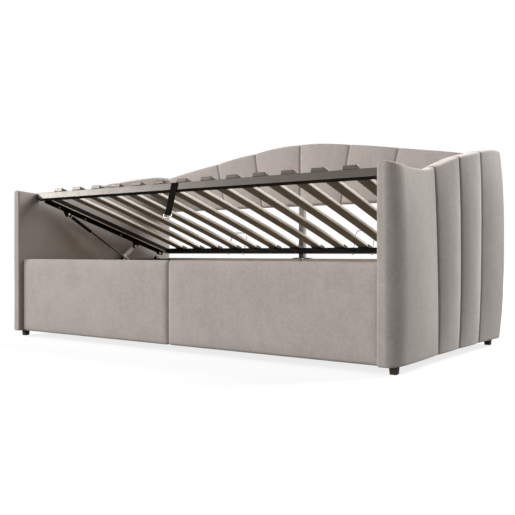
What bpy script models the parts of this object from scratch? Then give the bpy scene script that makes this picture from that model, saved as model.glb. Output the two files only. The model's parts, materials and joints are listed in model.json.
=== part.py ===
"""Storage daybed: upholstered box and arms, with a slatted deck that lifts on links and gas struts.

The part stands on the floor. X runs along the length, Y to the back and Z up.
The deck is shown open. Inside the script, y counts from the arms' front faces and z from the floor.
"""

import math

import bmesh
import bpy
from mathutils import Matrix, Vector

# Driving dimensions, in metres and degrees
INNER_LENGTH = 1.971
DEPTH = 1.12
FOOT_HEIGHT = 0.03
PANEL_HEIGHT = 0.36
PANEL_THICKNESS = 0.0275
PANEL_SETBACK = 0.019
REAR_PANEL_THICKNESS = 0.038
REAR_PANEL_INSET = 0.005
PANEL_EDGE_RADIUS = 0.010
PANEL_CROWN = 0.004
SEAT_GAP = 0.0003
PIN_CLEARANCE = 0.0003

ARM_THICKNESS = 0.0727
ARM_FRONT_HEIGHT = 0.703
ARM_REAR_HEIGHT = 0.855
ARM_FRONT_RADIUS = 0.033
ARM_REAR_RADIUS = 0.035
ARM_INNER_REAR_RADIUS = 0.027
ARM_TOP_RADIUS = 0.012
ARM_BOTTOM_RADIUS = 0.008
ARM_BULGE = 0.0125
ARM_CHANNEL_CROWN = 0.012
ARM_SEAM_SHARES = (0.362, 0.559, 0.757)
ARM_TOP_RISE_SHARES = ((0.0, 0.0), (0.11, -0.05), (0.21, -0.035), (0.31, 0.02), (0.40, 0.20),
                       (0.535, 0.475), (0.65, 0.655), (0.77, 0.83), (0.90, 0.985), (1.0, 1.0))
ARM_BOTTOM_WIDTH_SHARES = ((0.0, 1.0), (0.366, 0.876), (0.565, 0.861), (0.766, 0.926), (1.0, 1.051))
ARM_TOP_WIDTH_SHARES = ((0.0, 0.96), (0.18, 0.70), (0.366, 0.638), (0.565, 0.838), (0.766, 1.004),
                        (1.0, 1.04))
ARM_BULGE_SHARES = ((0.0, 0.0), (0.366, 0.415), (0.565, 0.63), (0.766, 0.69), (1.0, 1.0))
ARM_HEIGHT_SHARES = (0.93, 0.84, 0.70, 0.52, 0.34, 0.18, 0.07)
ARM_FRONT_RUN_SHARES = (0.25, 0.5, 0.75, 0.93)
ARM_REAR_RUN_SHARES = (0.0, 0.06, 0.18, 0.36, 0.58, 0.8)
ARM_REAR_CHANNEL_SHARE = 0.6
EDGE_CROWN_SHARE = 0.25

BACK_BOTTOM = 0.643
BACK_TOP = 0.975
BACK_TOP_SLOPE = 0.17
BACK_TOP_CREST = 0.25
BACK_FRONT_INSET = 0.052
BACK_REAR_INSET = 0.004
BACK_CROWN = 0.011
BACK_EDGE_RADIUS = 0.016
BACK_TOP_SEAM_SHARES = (0.306, 0.582)
BACK_BOTTOM_SEAM_SHARES = (0.255, 0.52)

POST_WIDTH = 0.025
POST_DEPTH = 0.034
POST_FLANGE_WIDTH = 0.105
POST_FLANGE_THICKNESS = 0.003

FOOT_SIDE = 0.030
FOOT_TAPER_SHARE = 0.84
FRONT_FOOT_Y = 0.068
REAR_FOOT_Y = 1.061
CENTRE_LEG_RADIUS = 0.02
CENTRE_LEG_SHARES = (0.30, 0.72)

LEDGER_WIDTH = 0.02
LEDGER_HEIGHT = 0.03
BEAM_WIDTH = 0.06
BEAM_HEIGHT = 0.04
FLOOR_THICKNESS = 0.012
FLOOR_HEIGHT = 0.045

BASE_RAIL_WIDTH = 0.025
BASE_RAIL_HEIGHT = 0.04
BASE_RAIL_DROP = 0.005
BASE_RAIL_FRONT = 0.10

TILT_DEGREES = 17.2
OPEN_FRONT_Y = 0.1036
OPEN_FRONT_HEIGHT = 0.6747
CLOSED_FRONT_Y = 0.0532
CLOSED_FRONT_HEIGHT = 0.3415
DECK_LENGTH = 1.898
DECK_DEPTH = 0.9813
RAIL_DEPTH = 0.038
RAIL_HEIGHT = 0.023
RAIL_WALL = 0.0016
END_RAIL_WIDTH = 0.030
FRONT_RAIL_DEPTH = 0.031
FRONT_RAIL_DROP = 0.0106
FRONT_RAIL_TIP_GAP = 0.004
FRONT_RAIL_CUT = 0.057

SLAT_COUNT = 13
SLAT_PITCH = 0.1369
SLAT_WIDTH = 0.0555
SLAT_THICKNESS = 0.0138
SLAT_CAP_LENGTH = 0.042
SLAT_CAP_WALL = 0.0016

METAL_PLATE = 0.003
LINK_THICKNESS = 0.004
HEAD_THICKNESS = 0.0027
HEAD_RADIUS = 0.008
PIN_RADIUS = 0.0045
BOSS_RADIUS = 0.007
LINK_HALF_WIDTH = 0.012
REAR_LINK_HALF_WIDTH = 0.0105
PLATE_LOBE_RADIUS = 0.013
UPPER_FLANGE_HEIGHT = 0.020
LOWER_PLATE_HEIGHT = 0.036
LOWER_PLATE_END_LENGTH = 0.085
STUD_RADIUS = 0.005
STUD_HEIGHT = 0.003
STUD_DROP = 0.012
STUD_SHARES = (0.129, 0.313, 0.593)

FRONT_PIVOT_U = 0.7093
FRONT_PIVOT_W = -0.039
FRONT_LINK_LENGTH = 0.102
REAR_PIVOT_U = 0.9143
REAR_PIVOT_W = -0.013
REAR_LINK_LENGTH = 0.0336
STRUT_PIVOT_U = 0.1843
STRUT_PIVOT_W = -0.029
CRANK_LENGTH = 0.065
CRANK_ANGLE_DEGREES = -74.6

STRUT_RADIUS = 0.009
STRUT_BORE_RADIUS = 0.0052
STRUT_NECK_RADIUS = 0.0043
STRUT_END_WALL = 0.012
STRUT_LENGTH = 0.160
STRUT_START = 0.016
ROD_RADIUS = 0.004
ROD_OVERLAP = 0.020
EYE_RADIUS = 0.0095
EYE_THICKNESS = 0.010

STRAP_X = -0.034
STRAP_WIDTH = 0.035
STRAP_THICKNESS = 0.0034
STRAP_TOP_DROP = 0.002
STRAP_LENGTH = 0.144
STRAP_LOOP_RADIUS = 0.0043
STRAP_LOOP_BORE = 0.0027
RING_WIRE_RADIUS = 0.0021
RING_WIDTH = 0.042
RING_DROP = 0.0155
RING_BOW_SHARE = 0.3

HOOP_OFFSET = 0.40
HOOP_WIDTH = 0.107
HOOP_HEIGHT = 0.080
HOOP_WIRE_RADIUS = 0.004
HOOP_CORNER_RADIUS = 0.022
HOOP_NUT_RADIUS = 0.0075
HOOP_NUT_HEIGHT = 0.006
HOOP_WIRE_TAIL = 0.003

ROUND_SIDES = 24
SMALL_SIDES = 16

# Finishes: linear colour, roughness, metallic
VELVET = ((0.39, 0.34, 0.31), 0.9, 0.0)
DARK_METAL = ((0.035, 0.030, 0.026), 0.35, 0.6)
ZINC = ((0.45, 0.43, 0.40), 0.35, 0.9)
CHROME = ((0.75, 0.74, 0.72), 0.12, 1.0)
PLY = ((0.62, 0.54, 0.45), 0.6, 0.0)
BOARD = ((0.50, 0.40, 0.29), 0.7, 0.0)
WEBBING = ((0.030, 0.026, 0.022), 0.85, 0.0)
FOOT_PLASTIC = ((0.045, 0.038, 0.033), 0.5, 0.0)

HALF_LENGTH = INNER_LENGTH / 2
HALF_DECK = DECK_LENGTH / 2
WELL_FRONT = PANEL_SETBACK + PANEL_THICKNESS + SEAT_GAP
WELL_REAR = DEPTH - REAR_PANEL_INSET - REAR_PANEL_THICKNESS - SEAT_GAP
TILT = math.radians(TILT_DEGREES)


def clear_scene():
    for old in list(bpy.data.objects):
        bpy.data.objects.remove(old, do_unlink=True)


def new_collection(name):
    collection = bpy.data.collections.new(name)
    bpy.context.scene.collection.children.link(collection)
    return collection


def empty_at(name, parent, location, turn=0.0):
    empty = bpy.data.objects.new(name, None)
    empty.location = location
    empty.rotation_euler = (turn, 0.0, 0.0)
    empty.parent = parent
    PARTS.objects.link(empty)
    return empty


def add_material(obj, finish):
    colour, roughness, metallic = finish
    material = bpy.data.materials.new(obj.name + "_finish")
    material.use_nodes = True
    shader = material.node_tree.nodes["Principled BSDF"]
    shader.inputs["Base Color"].default_value = (*colour, 1.0)
    shader.inputs["Roughness"].default_value = roughness
    shader.inputs["Metallic"].default_value = metallic
    obj.data.materials.clear()
    obj.data.materials.append(material)


def add_object(name, bm, finish, parent, location=(0.0, 0.0, 0.0), collection=None):
    """Link a bmesh as an object, with its faces turned outwards."""
    bmesh.ops.recalc_face_normals(bm, faces=bm.faces)
    mesh = bpy.data.meshes.new(name)
    bm.to_mesh(mesh)
    bm.free()
    obj = bpy.data.objects.new(name, mesh)
    obj.location = location
    obj.parent = parent
    (collection or PARTS).objects.link(obj)
    if finish:
        add_material(obj, finish)
    return obj


def smooth(obj, degrees=35.0):
    obj.data.shade_smooth()
    obj.data.set_sharp_from_angle(angle=math.radians(degrees))
    return obj


def hide_tool(obj):
    """A cutter or an added body is kept out of the model itself."""
    obj.hide_render = True
    obj.display_type = "WIRE"
    return obj


def combine(obj, tool, operation, solver="EXACT"):
    boolean = obj.modifiers.new(operation.lower() + "_" + tool.name, "BOOLEAN")
    boolean.operation = operation
    boolean.solver = solver
    boolean.object = tool
    hide_tool(tool)


def box_mesh(low, high):
    size = Vector(high) - Vector(low)
    bm = bmesh.new()
    bmesh.ops.create_cube(bm, size=1.0)
    bmesh.ops.scale(bm, vec=size, verts=bm.verts)
    return bm


def box(name, low, high, finish, parent, edge=0.0, collection=None):
    """A box between two corners, with its object's origin at its middle."""
    middle = (Vector(low) + Vector(high)) / 2
    obj = add_object(name, box_mesh(low, high), finish, parent, middle, collection)
    if edge:
        bevel = obj.modifiers.new("edges", "BEVEL")
        bevel.width = edge
        bevel.segments = 2
        bevel.limit_method = "ANGLE"
    return obj


def cylinder_x(name, x_low, x_high, y, z, radius, parent, sides=ROUND_SIDES):
    """A cylinder along X that is joined to or cut from another piece."""
    bm = bmesh.new()
    bmesh.ops.create_cone(bm, cap_ends=True, segments=sides, radius1=radius, radius2=radius,
                          depth=abs(x_high - x_low))
    bmesh.ops.rotate(bm, verts=bm.verts, matrix=Matrix.Rotation(math.pi / 2, 3, "Y"))
    return add_object(name, bm, None, parent, ((x_low + x_high) / 2, y, z), TOOLS)


def arc(centre, radius, start, end, steps):
    """Points on an arc in a plane, from one angle to another, ends included."""
    points = []
    for step in range(steps + 1):
        angle = start + (end - start) * step / steps
        points.append((centre[0] + radius * math.cos(angle), centre[1] + radius * math.sin(angle)))
    return points


def circle(centre, radius, sides=ROUND_SIDES):
    return arc(centre, radius, 0.0, math.tau, sides)[:-1]


def capsule(start, end, radius, steps=8):
    """A bar with round ends between two centres."""
    angle = math.atan2(end[1] - start[1], end[0] - start[0])
    quarter = math.pi / 2
    near = arc(start, radius, angle + quarter, angle + 3 * quarter, steps)
    far = arc(end, radius, angle - quarter, angle + quarter, steps)
    return near + far


def plate(name, outlines, x_low, x_high, finish, parent, collection=None):
    """A flat plate across X: the first outline is its edge and the others are its holes."""
    curve = bpy.data.curves.new(name, "CURVE")
    curve.dimensions = "2D"
    curve.fill_mode = "BOTH"
    curve.extrude = abs(x_high - x_low) / 2
    for outline in outlines:
        spline = curve.splines.new("POLY")
        spline.points.add(len(outline) - 1)
        for point, (y, z) in zip(spline.points, outline):
            point.co = (y, z, 0.0, 1.0)
        spline.use_cyclic_u = True
    draft = bpy.data.objects.new(name + "_curve", curve)
    TOOLS.objects.link(draft)
    bpy.context.view_layer.update()
    evaluated = draft.evaluated_get(bpy.context.evaluated_depsgraph_get())
    mesh = bpy.data.meshes.new_from_object(evaluated)
    bpy.data.objects.remove(draft, do_unlink=True)
    bm = bmesh.new()
    bm.from_mesh(mesh)
    bmesh.ops.remove_doubles(bm, verts=bm.verts, dist=SEAT_GAP / 10)
    if len(outlines) == 1:
        bmesh.ops.dissolve_limit(bm, angle_limit=math.radians(0.5), verts=bm.verts, edges=bm.edges)
    turn = Matrix(((0, 0, 1), (1, 0, 0), (0, 1, 0)))
    bmesh.ops.transform(bm, matrix=turn.to_4x4(), verts=bm.verts)
    return add_object(name, bm, finish, parent, ((x_low + x_high) / 2, 0.0, 0.0), collection)


def hollow_rail(name, low, high, along, finish, parent):
    """A rectangular tube with open ends, along X (0) or Y (1)."""
    middle = (Vector(low) + Vector(high)) / 2
    bm = box_mesh(low, high)
    ends = [face for face in bm.faces if abs(face.normal[along]) > abs(face.normal[1 - along])
            and abs(face.normal[along]) > abs(face.normal[2])]
    bmesh.ops.delete(bm, geom=ends, context="FACES_ONLY")
    obj = add_object(name, bm, finish, parent, middle)
    shell = obj.modifiers.new("wall", "SOLIDIFY")
    shell.thickness = RAIL_WALL
    shell.offset = -1.0
    shell.use_even_offset = True
    return obj


def turned(name, profile, finish, parent, location, collection=None):
    """A turned shape along local Y: profile points are (radius, distance along)."""
    bm = bmesh.new()
    verts = [bm.verts.new((radius, 0.0, along)) for radius, along in profile]
    for first, second in zip(verts, verts[1:]):
        bm.edges.new((first, second))
    mesh = bpy.data.meshes.new(name)
    bm.to_mesh(mesh)
    bm.free()
    obj = bpy.data.objects.new(name, mesh)
    obj.location = location
    obj.rotation_euler = (-math.pi / 2, 0.0, 0.0)
    obj.parent = parent
    (collection or PARTS).objects.link(obj)
    screw = obj.modifiers.new("turn", "SCREW")
    screw.axis = "Z"
    screw.steps = ROUND_SIDES
    screw.render_steps = ROUND_SIDES
    screw.use_merge_vertices = True
    screw.merge_threshold = SEAT_GAP / 10
    if finish:
        add_material(obj, finish)
    return obj


def wire_mesh(name, points, radius, cyclic, resolution):
    """The welded mesh of a round wire along a list of points."""
    curve = bpy.data.curves.new(name, "CURVE")
    curve.dimensions = "3D"
    curve.bevel_depth = radius
    curve.bevel_resolution = resolution
    curve.use_fill_caps = not cyclic
    spline = curve.splines.new("POLY")
    spline.points.add(len(points) - 1)
    for point, place in zip(spline.points, points):
        point.co = (*place, 1.0)
    spline.use_cyclic_u = cyclic
    draft = bpy.data.objects.new(name + "_curve", curve)
    TOOLS.objects.link(draft)
    bpy.context.view_layer.update()
    evaluated = draft.evaluated_get(bpy.context.evaluated_depsgraph_get())
    mesh = bpy.data.meshes.new_from_object(evaluated)
    bpy.data.objects.remove(draft, do_unlink=True)
    bm = bmesh.new()
    bm.from_mesh(mesh)
    bmesh.ops.remove_doubles(bm, verts=bm.verts, dist=SEAT_GAP / 10)
    return bm


def loft(name, rings, finish, parent, location=(0.0, 0.0, 0.0), collection=None):
    """A solid through closed rings of equal length, capped at both ends."""
    bm = bmesh.new()
    rows = [[bm.verts.new(point) for point in ring] for ring in rings]
    for near, far in zip(rows, rows[1:]):
        for index in range(len(near)):
            following = (index + 1) % len(near)
            bm.faces.new((near[index], near[following], far[following], far[index]))
    bm.faces.new(reversed(rows[0]))
    bm.faces.new(rows[-1])
    return add_object(name, bm, finish, parent, location, collection)


def follow(points, share):
    """A smooth curve through hand-chosen points, read at one share of its length."""
    share = min(max(share, points[0][0]), points[-1][0])
    index = 0
    while index < len(points) - 2 and points[index + 1][0] < share:
        index += 1

    def slope(at):
        before = points[max(at - 1, 0)]
        after = points[min(at + 1, len(points) - 1)]
        return (after[1] - before[1]) / (after[0] - before[0])

    start, end = points[index], points[index + 1]
    span = end[0] - start[0]
    t = (share - start[0]) / span
    rise = t * t * (3 - 2 * t)
    lead = t * (1 - t) * (1 - t)
    trail = t * t * (t - 1)
    return (start[1] * (1 - rise) + end[1] * rise
            + span * (slope(index) * lead + slope(index + 1) * trail))


def barrel(height_share, sharpness=2.7):
    """How far a padded face swells between its lower and upper edge, from 0 to 1."""
    return 1 - abs(2 * height_share - 1) ** sharpness


def pillow(share, sharpness=2.4):
    """How far one channel swells between its two seams, from 0 to 1."""
    return 1 - abs(2 * share - 1) ** sharpness


def channel_stations(low, high, shares=(0.06, 0.18, 0.36, 0.64, 0.82, 0.94)):
    """Places across a channel with how full it is there, from one seam up to the next."""
    stations = [(low, 0.0)]
    for share in shares:
        stations.append((low + (high - low) * share, pillow(share)))
    return stations


def arm_section(y, fullness, front_cut=0.0, rear_cut=0.0, inner_cut=0.0, top_cut=0.0):
    """One upright cross-section of an arm as (outwards, height) points, from the inner bottom edge."""
    share = y / DEPTH
    rise = ARM_REAR_HEIGHT - ARM_FRONT_HEIGHT
    top = ARM_FRONT_HEIGHT + rise * follow(ARM_TOP_RISE_SHARES, share) - top_cut
    bottom_width = ARM_THICKNESS * follow(ARM_BOTTOM_WIDTH_SHARES, share)
    top_width = ARM_THICKNESS * follow(ARM_TOP_WIDTH_SHARES, share)
    bulge = ARM_BULGE * follow(ARM_BULGE_SHARES, share)

    def outer(height_share):
        swell = barrel(height_share)
        width = bottom_width + (top_width - bottom_width) * height_share + bulge * swell
        crown = ARM_CHANNEL_CROWN * fullness * (EDGE_CROWN_SHARE + (1 - EDGE_CROWN_SHARE) * swell)
        return width + crown - front_cut - rear_cut

    section = [(inner_cut, 0.0), (inner_cut, top - ARM_TOP_RADIUS)]
    inner_corner = (inner_cut + ARM_TOP_RADIUS, top - ARM_TOP_RADIUS)
    section += arc(inner_corner, ARM_TOP_RADIUS, math.pi, math.pi / 2, 3)[1:]
    edge_share = (top - ARM_TOP_RADIUS) / top
    outer_corner = (outer(edge_share) - ARM_TOP_RADIUS, top - ARM_TOP_RADIUS)
    section += arc(outer_corner, ARM_TOP_RADIUS, math.pi / 2, 0.0, 3)
    for height_share in ARM_HEIGHT_SHARES:
        section.append((outer(height_share), top * height_share))
    section.append((outer(ARM_BOTTOM_RADIUS / top), ARM_BOTTOM_RADIUS))
    section.append((outer(0.0) - ARM_BOTTOM_RADIUS, 0.0))
    return section


def arm_rings(side):
    """Cross-sections of an arm from its front face round to its rear face."""
    rings = []

    def add(y, *cuts, fullness=0.0):
        section = arm_section(y, fullness, *cuts)
        rings.append([(side * out, y, height) for out, height in section])

    corner_steps = 4
    for step in range(corner_steps + 1):
        angle = math.pi / 2 * step / corner_steps
        add(ARM_FRONT_RADIUS * (1 - math.cos(angle)), ARM_FRONT_RADIUS * (1 - math.sin(angle)))
    seams = [DEPTH * share for share in ARM_SEAM_SHARES]
    for share in ARM_FRONT_RUN_SHARES:
        add(ARM_FRONT_RADIUS + (seams[0] - ARM_FRONT_RADIUS) * share)
    for low, high in zip(seams, seams[1:]):
        for y, fullness in channel_stations(low, high):
            add(y, fullness=fullness)
    corner_start = DEPTH - ARM_REAR_RADIUS
    for share in ARM_REAR_RUN_SHARES:
        y = seams[-1] + (corner_start - seams[-1]) * share
        add(y, fullness=pillow(share * ARM_REAR_CHANNEL_SHARE))
    for step in range(corner_steps + 1):
        angle = math.pi / 2 * step / corner_steps
        inwards = 1 - math.cos(angle)
        y = corner_start + ARM_REAR_RADIUS * math.sin(angle)
        add(y, 0.0, ARM_REAR_RADIUS * inwards, ARM_INNER_REAR_RADIUS * inwards,
            ARM_INNER_REAR_RADIUS * inwards, fullness=pillow(ARM_REAR_CHANNEL_SHARE) * (1 - inwards))
    return rings


def make_arm(name, side):
    place = (side * HALF_LENGTH, 0.0, FOOT_HEIGHT)
    arm = loft(name, arm_rings(side), VELVET, ORIGIN, place)
    return smooth(arm, 50.0)


def back_top(x):
    """Height of the back's top edge above the panels' bottom, a soft crest that falls to the arms."""
    return BACK_TOP - BACK_TOP_SLOPE * (math.hypot(x, BACK_TOP_CREST) - BACK_TOP_CREST)


def back_ring(side, bottom_x, top_x, fullness, edge_cut):
    """One cross-section of the back, leaning with the fan of its seams."""
    front = DEPTH - BACK_FRONT_INSET - BACK_CROWN * fullness + edge_cut
    rear = DEPTH - BACK_REAR_INSET
    top = back_top(top_x) - edge_cut
    radius = BACK_EDGE_RADIUS
    quarter = math.pi / 2
    outline = [(rear, BACK_BOTTOM), (rear, top - radius)]
    outline += arc((rear - radius, top - radius), radius, 0.0, quarter, 3)[1:]
    outline += arc((front + radius, top - radius), radius, quarter, 2 * quarter, 3)
    for share in (0.75, 0.5, 0.25):
        height = BACK_BOTTOM + (top - BACK_BOTTOM) * share
        outline.append((front, height))
    outline += arc((front + radius, BACK_BOTTOM + radius), radius, 2 * quarter, 3 * quarter, 3)
    ring = []
    for y, height in outline:
        share = (height - BACK_BOTTOM) / (top - BACK_BOTTOM)
        x = bottom_x + (top_x - bottom_x) * share
        ring.append((side * x, y, height))
    return ring


def make_back(name, side):
    """Half of the back, from the middle seam to the arm, with three upright channels."""
    last = HALF_LENGTH - SEAT_GAP
    tops = [SEAT_GAP] + [HALF_LENGTH * share for share in BACK_TOP_SEAM_SHARES] + [last]
    bottoms = [SEAT_GAP] + [HALF_LENGTH * share for share in BACK_BOTTOM_SEAM_SHARES] + [last]
    rings = []
    for index in range(len(tops) - 1):
        upper = channel_stations(tops[index], tops[index + 1])
        lower = channel_stations(bottoms[index], bottoms[index + 1])
        for (top_x, fullness), (bottom_x, _) in zip(upper, lower):
            rings.append(back_ring(side, bottom_x, top_x, fullness, 0.0))
    rings.append(back_ring(side, bottoms[-1], tops[-1], 0.0, 0.0))
    back = loft(name, rings, VELVET, ORIGIN, (0.0, 0.0, FOOT_HEIGHT))
    return smooth(back, 50.0)


def pad(name, low, high, face_sign, finish):
    """An upholstered board with rolled edges and a slight crown on its outer face."""
    middle = (Vector(low) + Vector(high)) / 2
    half = (Vector(high) - Vector(low)) / 2
    bm = box_mesh(low, high)
    across = [edge for edge in bm.edges
              if abs((edge.verts[0].co - edge.verts[1].co).y) < half.y]
    bmesh.ops.subdivide_edges(bm, edges=across, cuts=3, use_grid_fill=True)
    for vert in bm.verts:
        if vert.co.y * face_sign > 0:
            x_share = 1 - abs(vert.co.x / half.x) ** 2
            z_share = 1 - abs(vert.co.z / half.z) ** 2
            vert.co.y -= face_sign * PANEL_CROWN * (1 - x_share * z_share)
    obj = add_object(name, bm, finish, ORIGIN, middle)
    bevel = obj.modifiers.new("rolled_edges", "BEVEL")
    bevel.width = PANEL_EDGE_RADIUS
    bevel.segments = 3
    bevel.limit_method = "ANGLE"
    bevel.angle_limit = math.radians(40)
    return smooth(obj, 50.0)


def make_base_panels():
    bottom = FOOT_HEIGHT
    top = FOOT_HEIGHT + PANEL_HEIGHT
    front_high = PANEL_SETBACK + PANEL_THICKNESS
    rear_low = DEPTH - REAR_PANEL_INSET - REAR_PANEL_THICKNESS
    for name, side in (("left", -1), ("right", 1)):
        xs = sorted((side * SEAT_GAP, side * (HALF_LENGTH - SEAT_GAP)))
        pad("front_panel_" + name, (xs[0], PANEL_SETBACK, bottom), (xs[1], front_high, top), -1, VELVET)
        pad("rear_panel_" + name, (xs[0], rear_low, bottom), (xs[1], rear_low + REAR_PANEL_THICKNESS, top),
            1, VELVET)


def make_floor():
    """The storage floor: ledgers on the long panels, a middle beam on two legs, and two boards."""
    front = WELL_FRONT
    rear = WELL_REAR
    board_bottom = FOOT_HEIGHT + FLOOR_HEIGHT
    ledger_top = board_bottom - SEAT_GAP
    ledger_half = HALF_LENGTH - SEAT_GAP
    box("front_ledger", (-ledger_half, front, ledger_top - LEDGER_HEIGHT),
        (ledger_half, front + LEDGER_WIDTH, ledger_top), BOARD, ORIGIN)
    box("rear_ledger", (-ledger_half, rear - LEDGER_WIDTH, ledger_top - LEDGER_HEIGHT),
        (ledger_half, rear, ledger_top), BOARD, ORIGIN)
    beam_front = front + LEDGER_WIDTH + SEAT_GAP
    beam_rear = rear - LEDGER_WIDTH - SEAT_GAP
    beam_bottom = ledger_top - BEAM_HEIGHT
    box("centre_beam", (-BEAM_WIDTH / 2, beam_front, beam_bottom), (BEAM_WIDTH / 2, beam_rear, ledger_top),
        BOARD, ORIGIN)
    for name, side in (("left", -1), ("right", 1)):
        xs = sorted((side * SEAT_GAP, side * (HALF_LENGTH - SEAT_GAP)))
        box("floor_board_" + name, (xs[0], front, board_bottom),
            (xs[1], rear, board_bottom + FLOOR_THICKNESS), BOARD, ORIGIN)
    for name, share in zip(("front", "rear"), CENTRE_LEG_SHARES):
        bm = bmesh.new()
        height = beam_bottom - SEAT_GAP
        bmesh.ops.create_cone(bm, cap_ends=True, segments=ROUND_SIDES, radius1=CENTRE_LEG_RADIUS,
                              radius2=CENTRE_LEG_RADIUS, depth=height)
        leg = add_object("centre_leg_" + name, bm, FOOT_PLASTIC, ORIGIN, (0.0, DEPTH * share, height / 2))
        smooth(leg)


def make_feet():
    """Four square tapered feet under the middle of the arms' thickness."""
    height = FOOT_HEIGHT - SEAT_GAP
    for side_name, side in (("left", -1), ("right", 1)):
        for row, y in (("front", FRONT_FOOT_Y), ("rear", REAR_FOOT_Y)):
            bm = box_mesh((0.0, 0.0, 0.0), (FOOT_SIDE, FOOT_SIDE, height))
            for vert in bm.verts:
                if vert.co.z < 0:
                    vert.co.x *= FOOT_TAPER_SHARE
                    vert.co.y *= FOOT_TAPER_SHARE
            x = side * (HALF_LENGTH + ARM_THICKNESS / 2)
            add_object("foot_" + row + "_" + side_name, bm, FOOT_PLASTIC, ORIGIN, (x, y, height / 2))


def make_back_post():
    """The upright in the middle that carries the back above the rear panels."""
    rear_panel_middle = DEPTH - REAR_PANEL_INSET - REAR_PANEL_THICKNESS / 2
    low = FOOT_HEIGHT + PANEL_HEIGHT + SEAT_GAP
    high = FOOT_HEIGHT + BACK_BOTTOM - SEAT_GAP
    half_depth = POST_DEPTH / 2
    front, rear = rear_panel_middle - half_depth, rear_panel_middle + half_depth
    post = box("back_post", (-POST_WIDTH / 2, front, low), (POST_WIDTH / 2, rear, high), DARK_METAL, ORIGIN)
    for name, z in (("foot", low), ("head", high - POST_FLANGE_THICKNESS)):
        flange = box("back_post_" + name, (-POST_FLANGE_WIDTH / 2, front - POST_FLANGE_THICKNESS / 2, z),
                     (POST_FLANGE_WIDTH / 2, rear + POST_FLANGE_THICKNESS / 2, z + POST_FLANGE_THICKNESS),
                     None, ORIGIN, 0.0, TOOLS)
        combine(post, flange, "UNION")


# Layers across X at each end, from the arm's inner face towards the middle
RAIL_OUTER = HALF_LENGTH - SEAT_GAP
RAIL_INNER = RAIL_OUTER - BASE_RAIL_WIDTH
LOWER_OUTER = RAIL_INNER - SEAT_GAP
LOWER_INNER = LOWER_OUTER - METAL_PLATE
LINK_OUTER = LOWER_INNER - SEAT_GAP
LINK_INNER = LINK_OUTER - LINK_THICKNESS
HEAD_OUTER = LINK_INNER - SEAT_GAP
HEAD_INNER = HEAD_OUTER - HEAD_THICKNESS
UPPER_OUTER = HEAD_INNER - 2 * SEAT_GAP
UPPER_INNER = UPPER_OUTER - METAL_PLATE
STRUT_EYE_OUTER = UPPER_INNER - EYE_RADIUS / 2 - SEAT_GAP
STRUT_X = STRUT_EYE_OUTER - EYE_THICKNESS / 2
END_RAIL_OUTER = UPPER_INNER - 2 * SEAT_GAP
END_RAIL_INNER = END_RAIL_OUTER - END_RAIL_WIDTH


def turned_point(point, angle):
    """A (y, z) pair turned about the X axis."""
    y, z = point
    return (y * math.cos(angle) - z * math.sin(angle), y * math.sin(angle) + z * math.cos(angle))


def on_deck(point, opened):
    """Where a point of the deck, given along and above it, lies when the deck is open or closed."""
    y, z = turned_point(point, -TILT if opened else 0.0)
    if opened:
        return Vector((OPEN_FRONT_Y + y, OPEN_FRONT_HEIGHT + FOOT_HEIGHT + z))
    return Vector((CLOSED_FRONT_Y + y, CLOSED_FRONT_HEIGHT + FOOT_HEIGHT + z))


def fixed_pivot(point, length):
    """The base pivot at one link's length from both the open and the closed place of a deck pivot."""
    opened, closed = on_deck(point, True), on_deck(point, False)
    middle = (opened + closed) / 2
    travel = opened - closed
    reach = math.sqrt(length ** 2 - (travel.length / 2) ** 2)
    across = Vector((-travel.y, travel.x)).normalized()
    return middle + across * reach


def direction(start, end):
    return math.atan2(end[1] - start[1], end[0] - start[0])


FRONT_DECK_PIVOT = (FRONT_PIVOT_U, FRONT_PIVOT_W)
REAR_DECK_PIVOT = (REAR_PIVOT_U, REAR_PIVOT_W)
STRUT_DECK_PIVOT = (STRUT_PIVOT_U, STRUT_PIVOT_W)
FRONT_BASE_PIVOT = fixed_pivot(FRONT_DECK_PIVOT, FRONT_LINK_LENGTH)
REAR_BASE_PIVOT = fixed_pivot(REAR_DECK_PIVOT, REAR_LINK_LENGTH)
FRONT_LINK_ANGLE = direction(FRONT_BASE_PIVOT, on_deck(FRONT_DECK_PIVOT, True))
FRONT_LINK_CLOSED = direction(FRONT_BASE_PIVOT, on_deck(FRONT_DECK_PIVOT, False))
REAR_LINK_ANGLE = direction(REAR_BASE_PIVOT, on_deck(REAR_DECK_PIVOT, True))
REAR_LINK_CLOSED = direction(REAR_BASE_PIVOT, on_deck(REAR_DECK_PIVOT, False))
CRANK_ANGLE = math.radians(CRANK_ANGLE_DEGREES)


def crank_end(link_angle):
    """Where the strut's lower pivot lies for one angle of the front link."""
    reach = turned_point((CRANK_LENGTH, 0.0), link_angle + CRANK_ANGLE)
    return FRONT_BASE_PIVOT + Vector(reach)


STRUT_OPEN_START = on_deck(STRUT_DECK_PIVOT, True)
STRUT_OPEN_END = crank_end(FRONT_LINK_ANGLE)
STRUT_CLOSED_START = on_deck(STRUT_DECK_PIVOT, False)
STRUT_CLOSED_END = crank_end(FRONT_LINK_CLOSED)
STRUT_OPEN_LENGTH = (STRUT_OPEN_END - STRUT_OPEN_START).length
STRUT_CLOSED_LENGTH = (STRUT_CLOSED_END - STRUT_CLOSED_START).length
STRUT_STROKE = STRUT_OPEN_LENGTH - STRUT_CLOSED_LENGTH
STRUT_ANGLE = direction(STRUT_OPEN_START, STRUT_OPEN_END)


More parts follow.
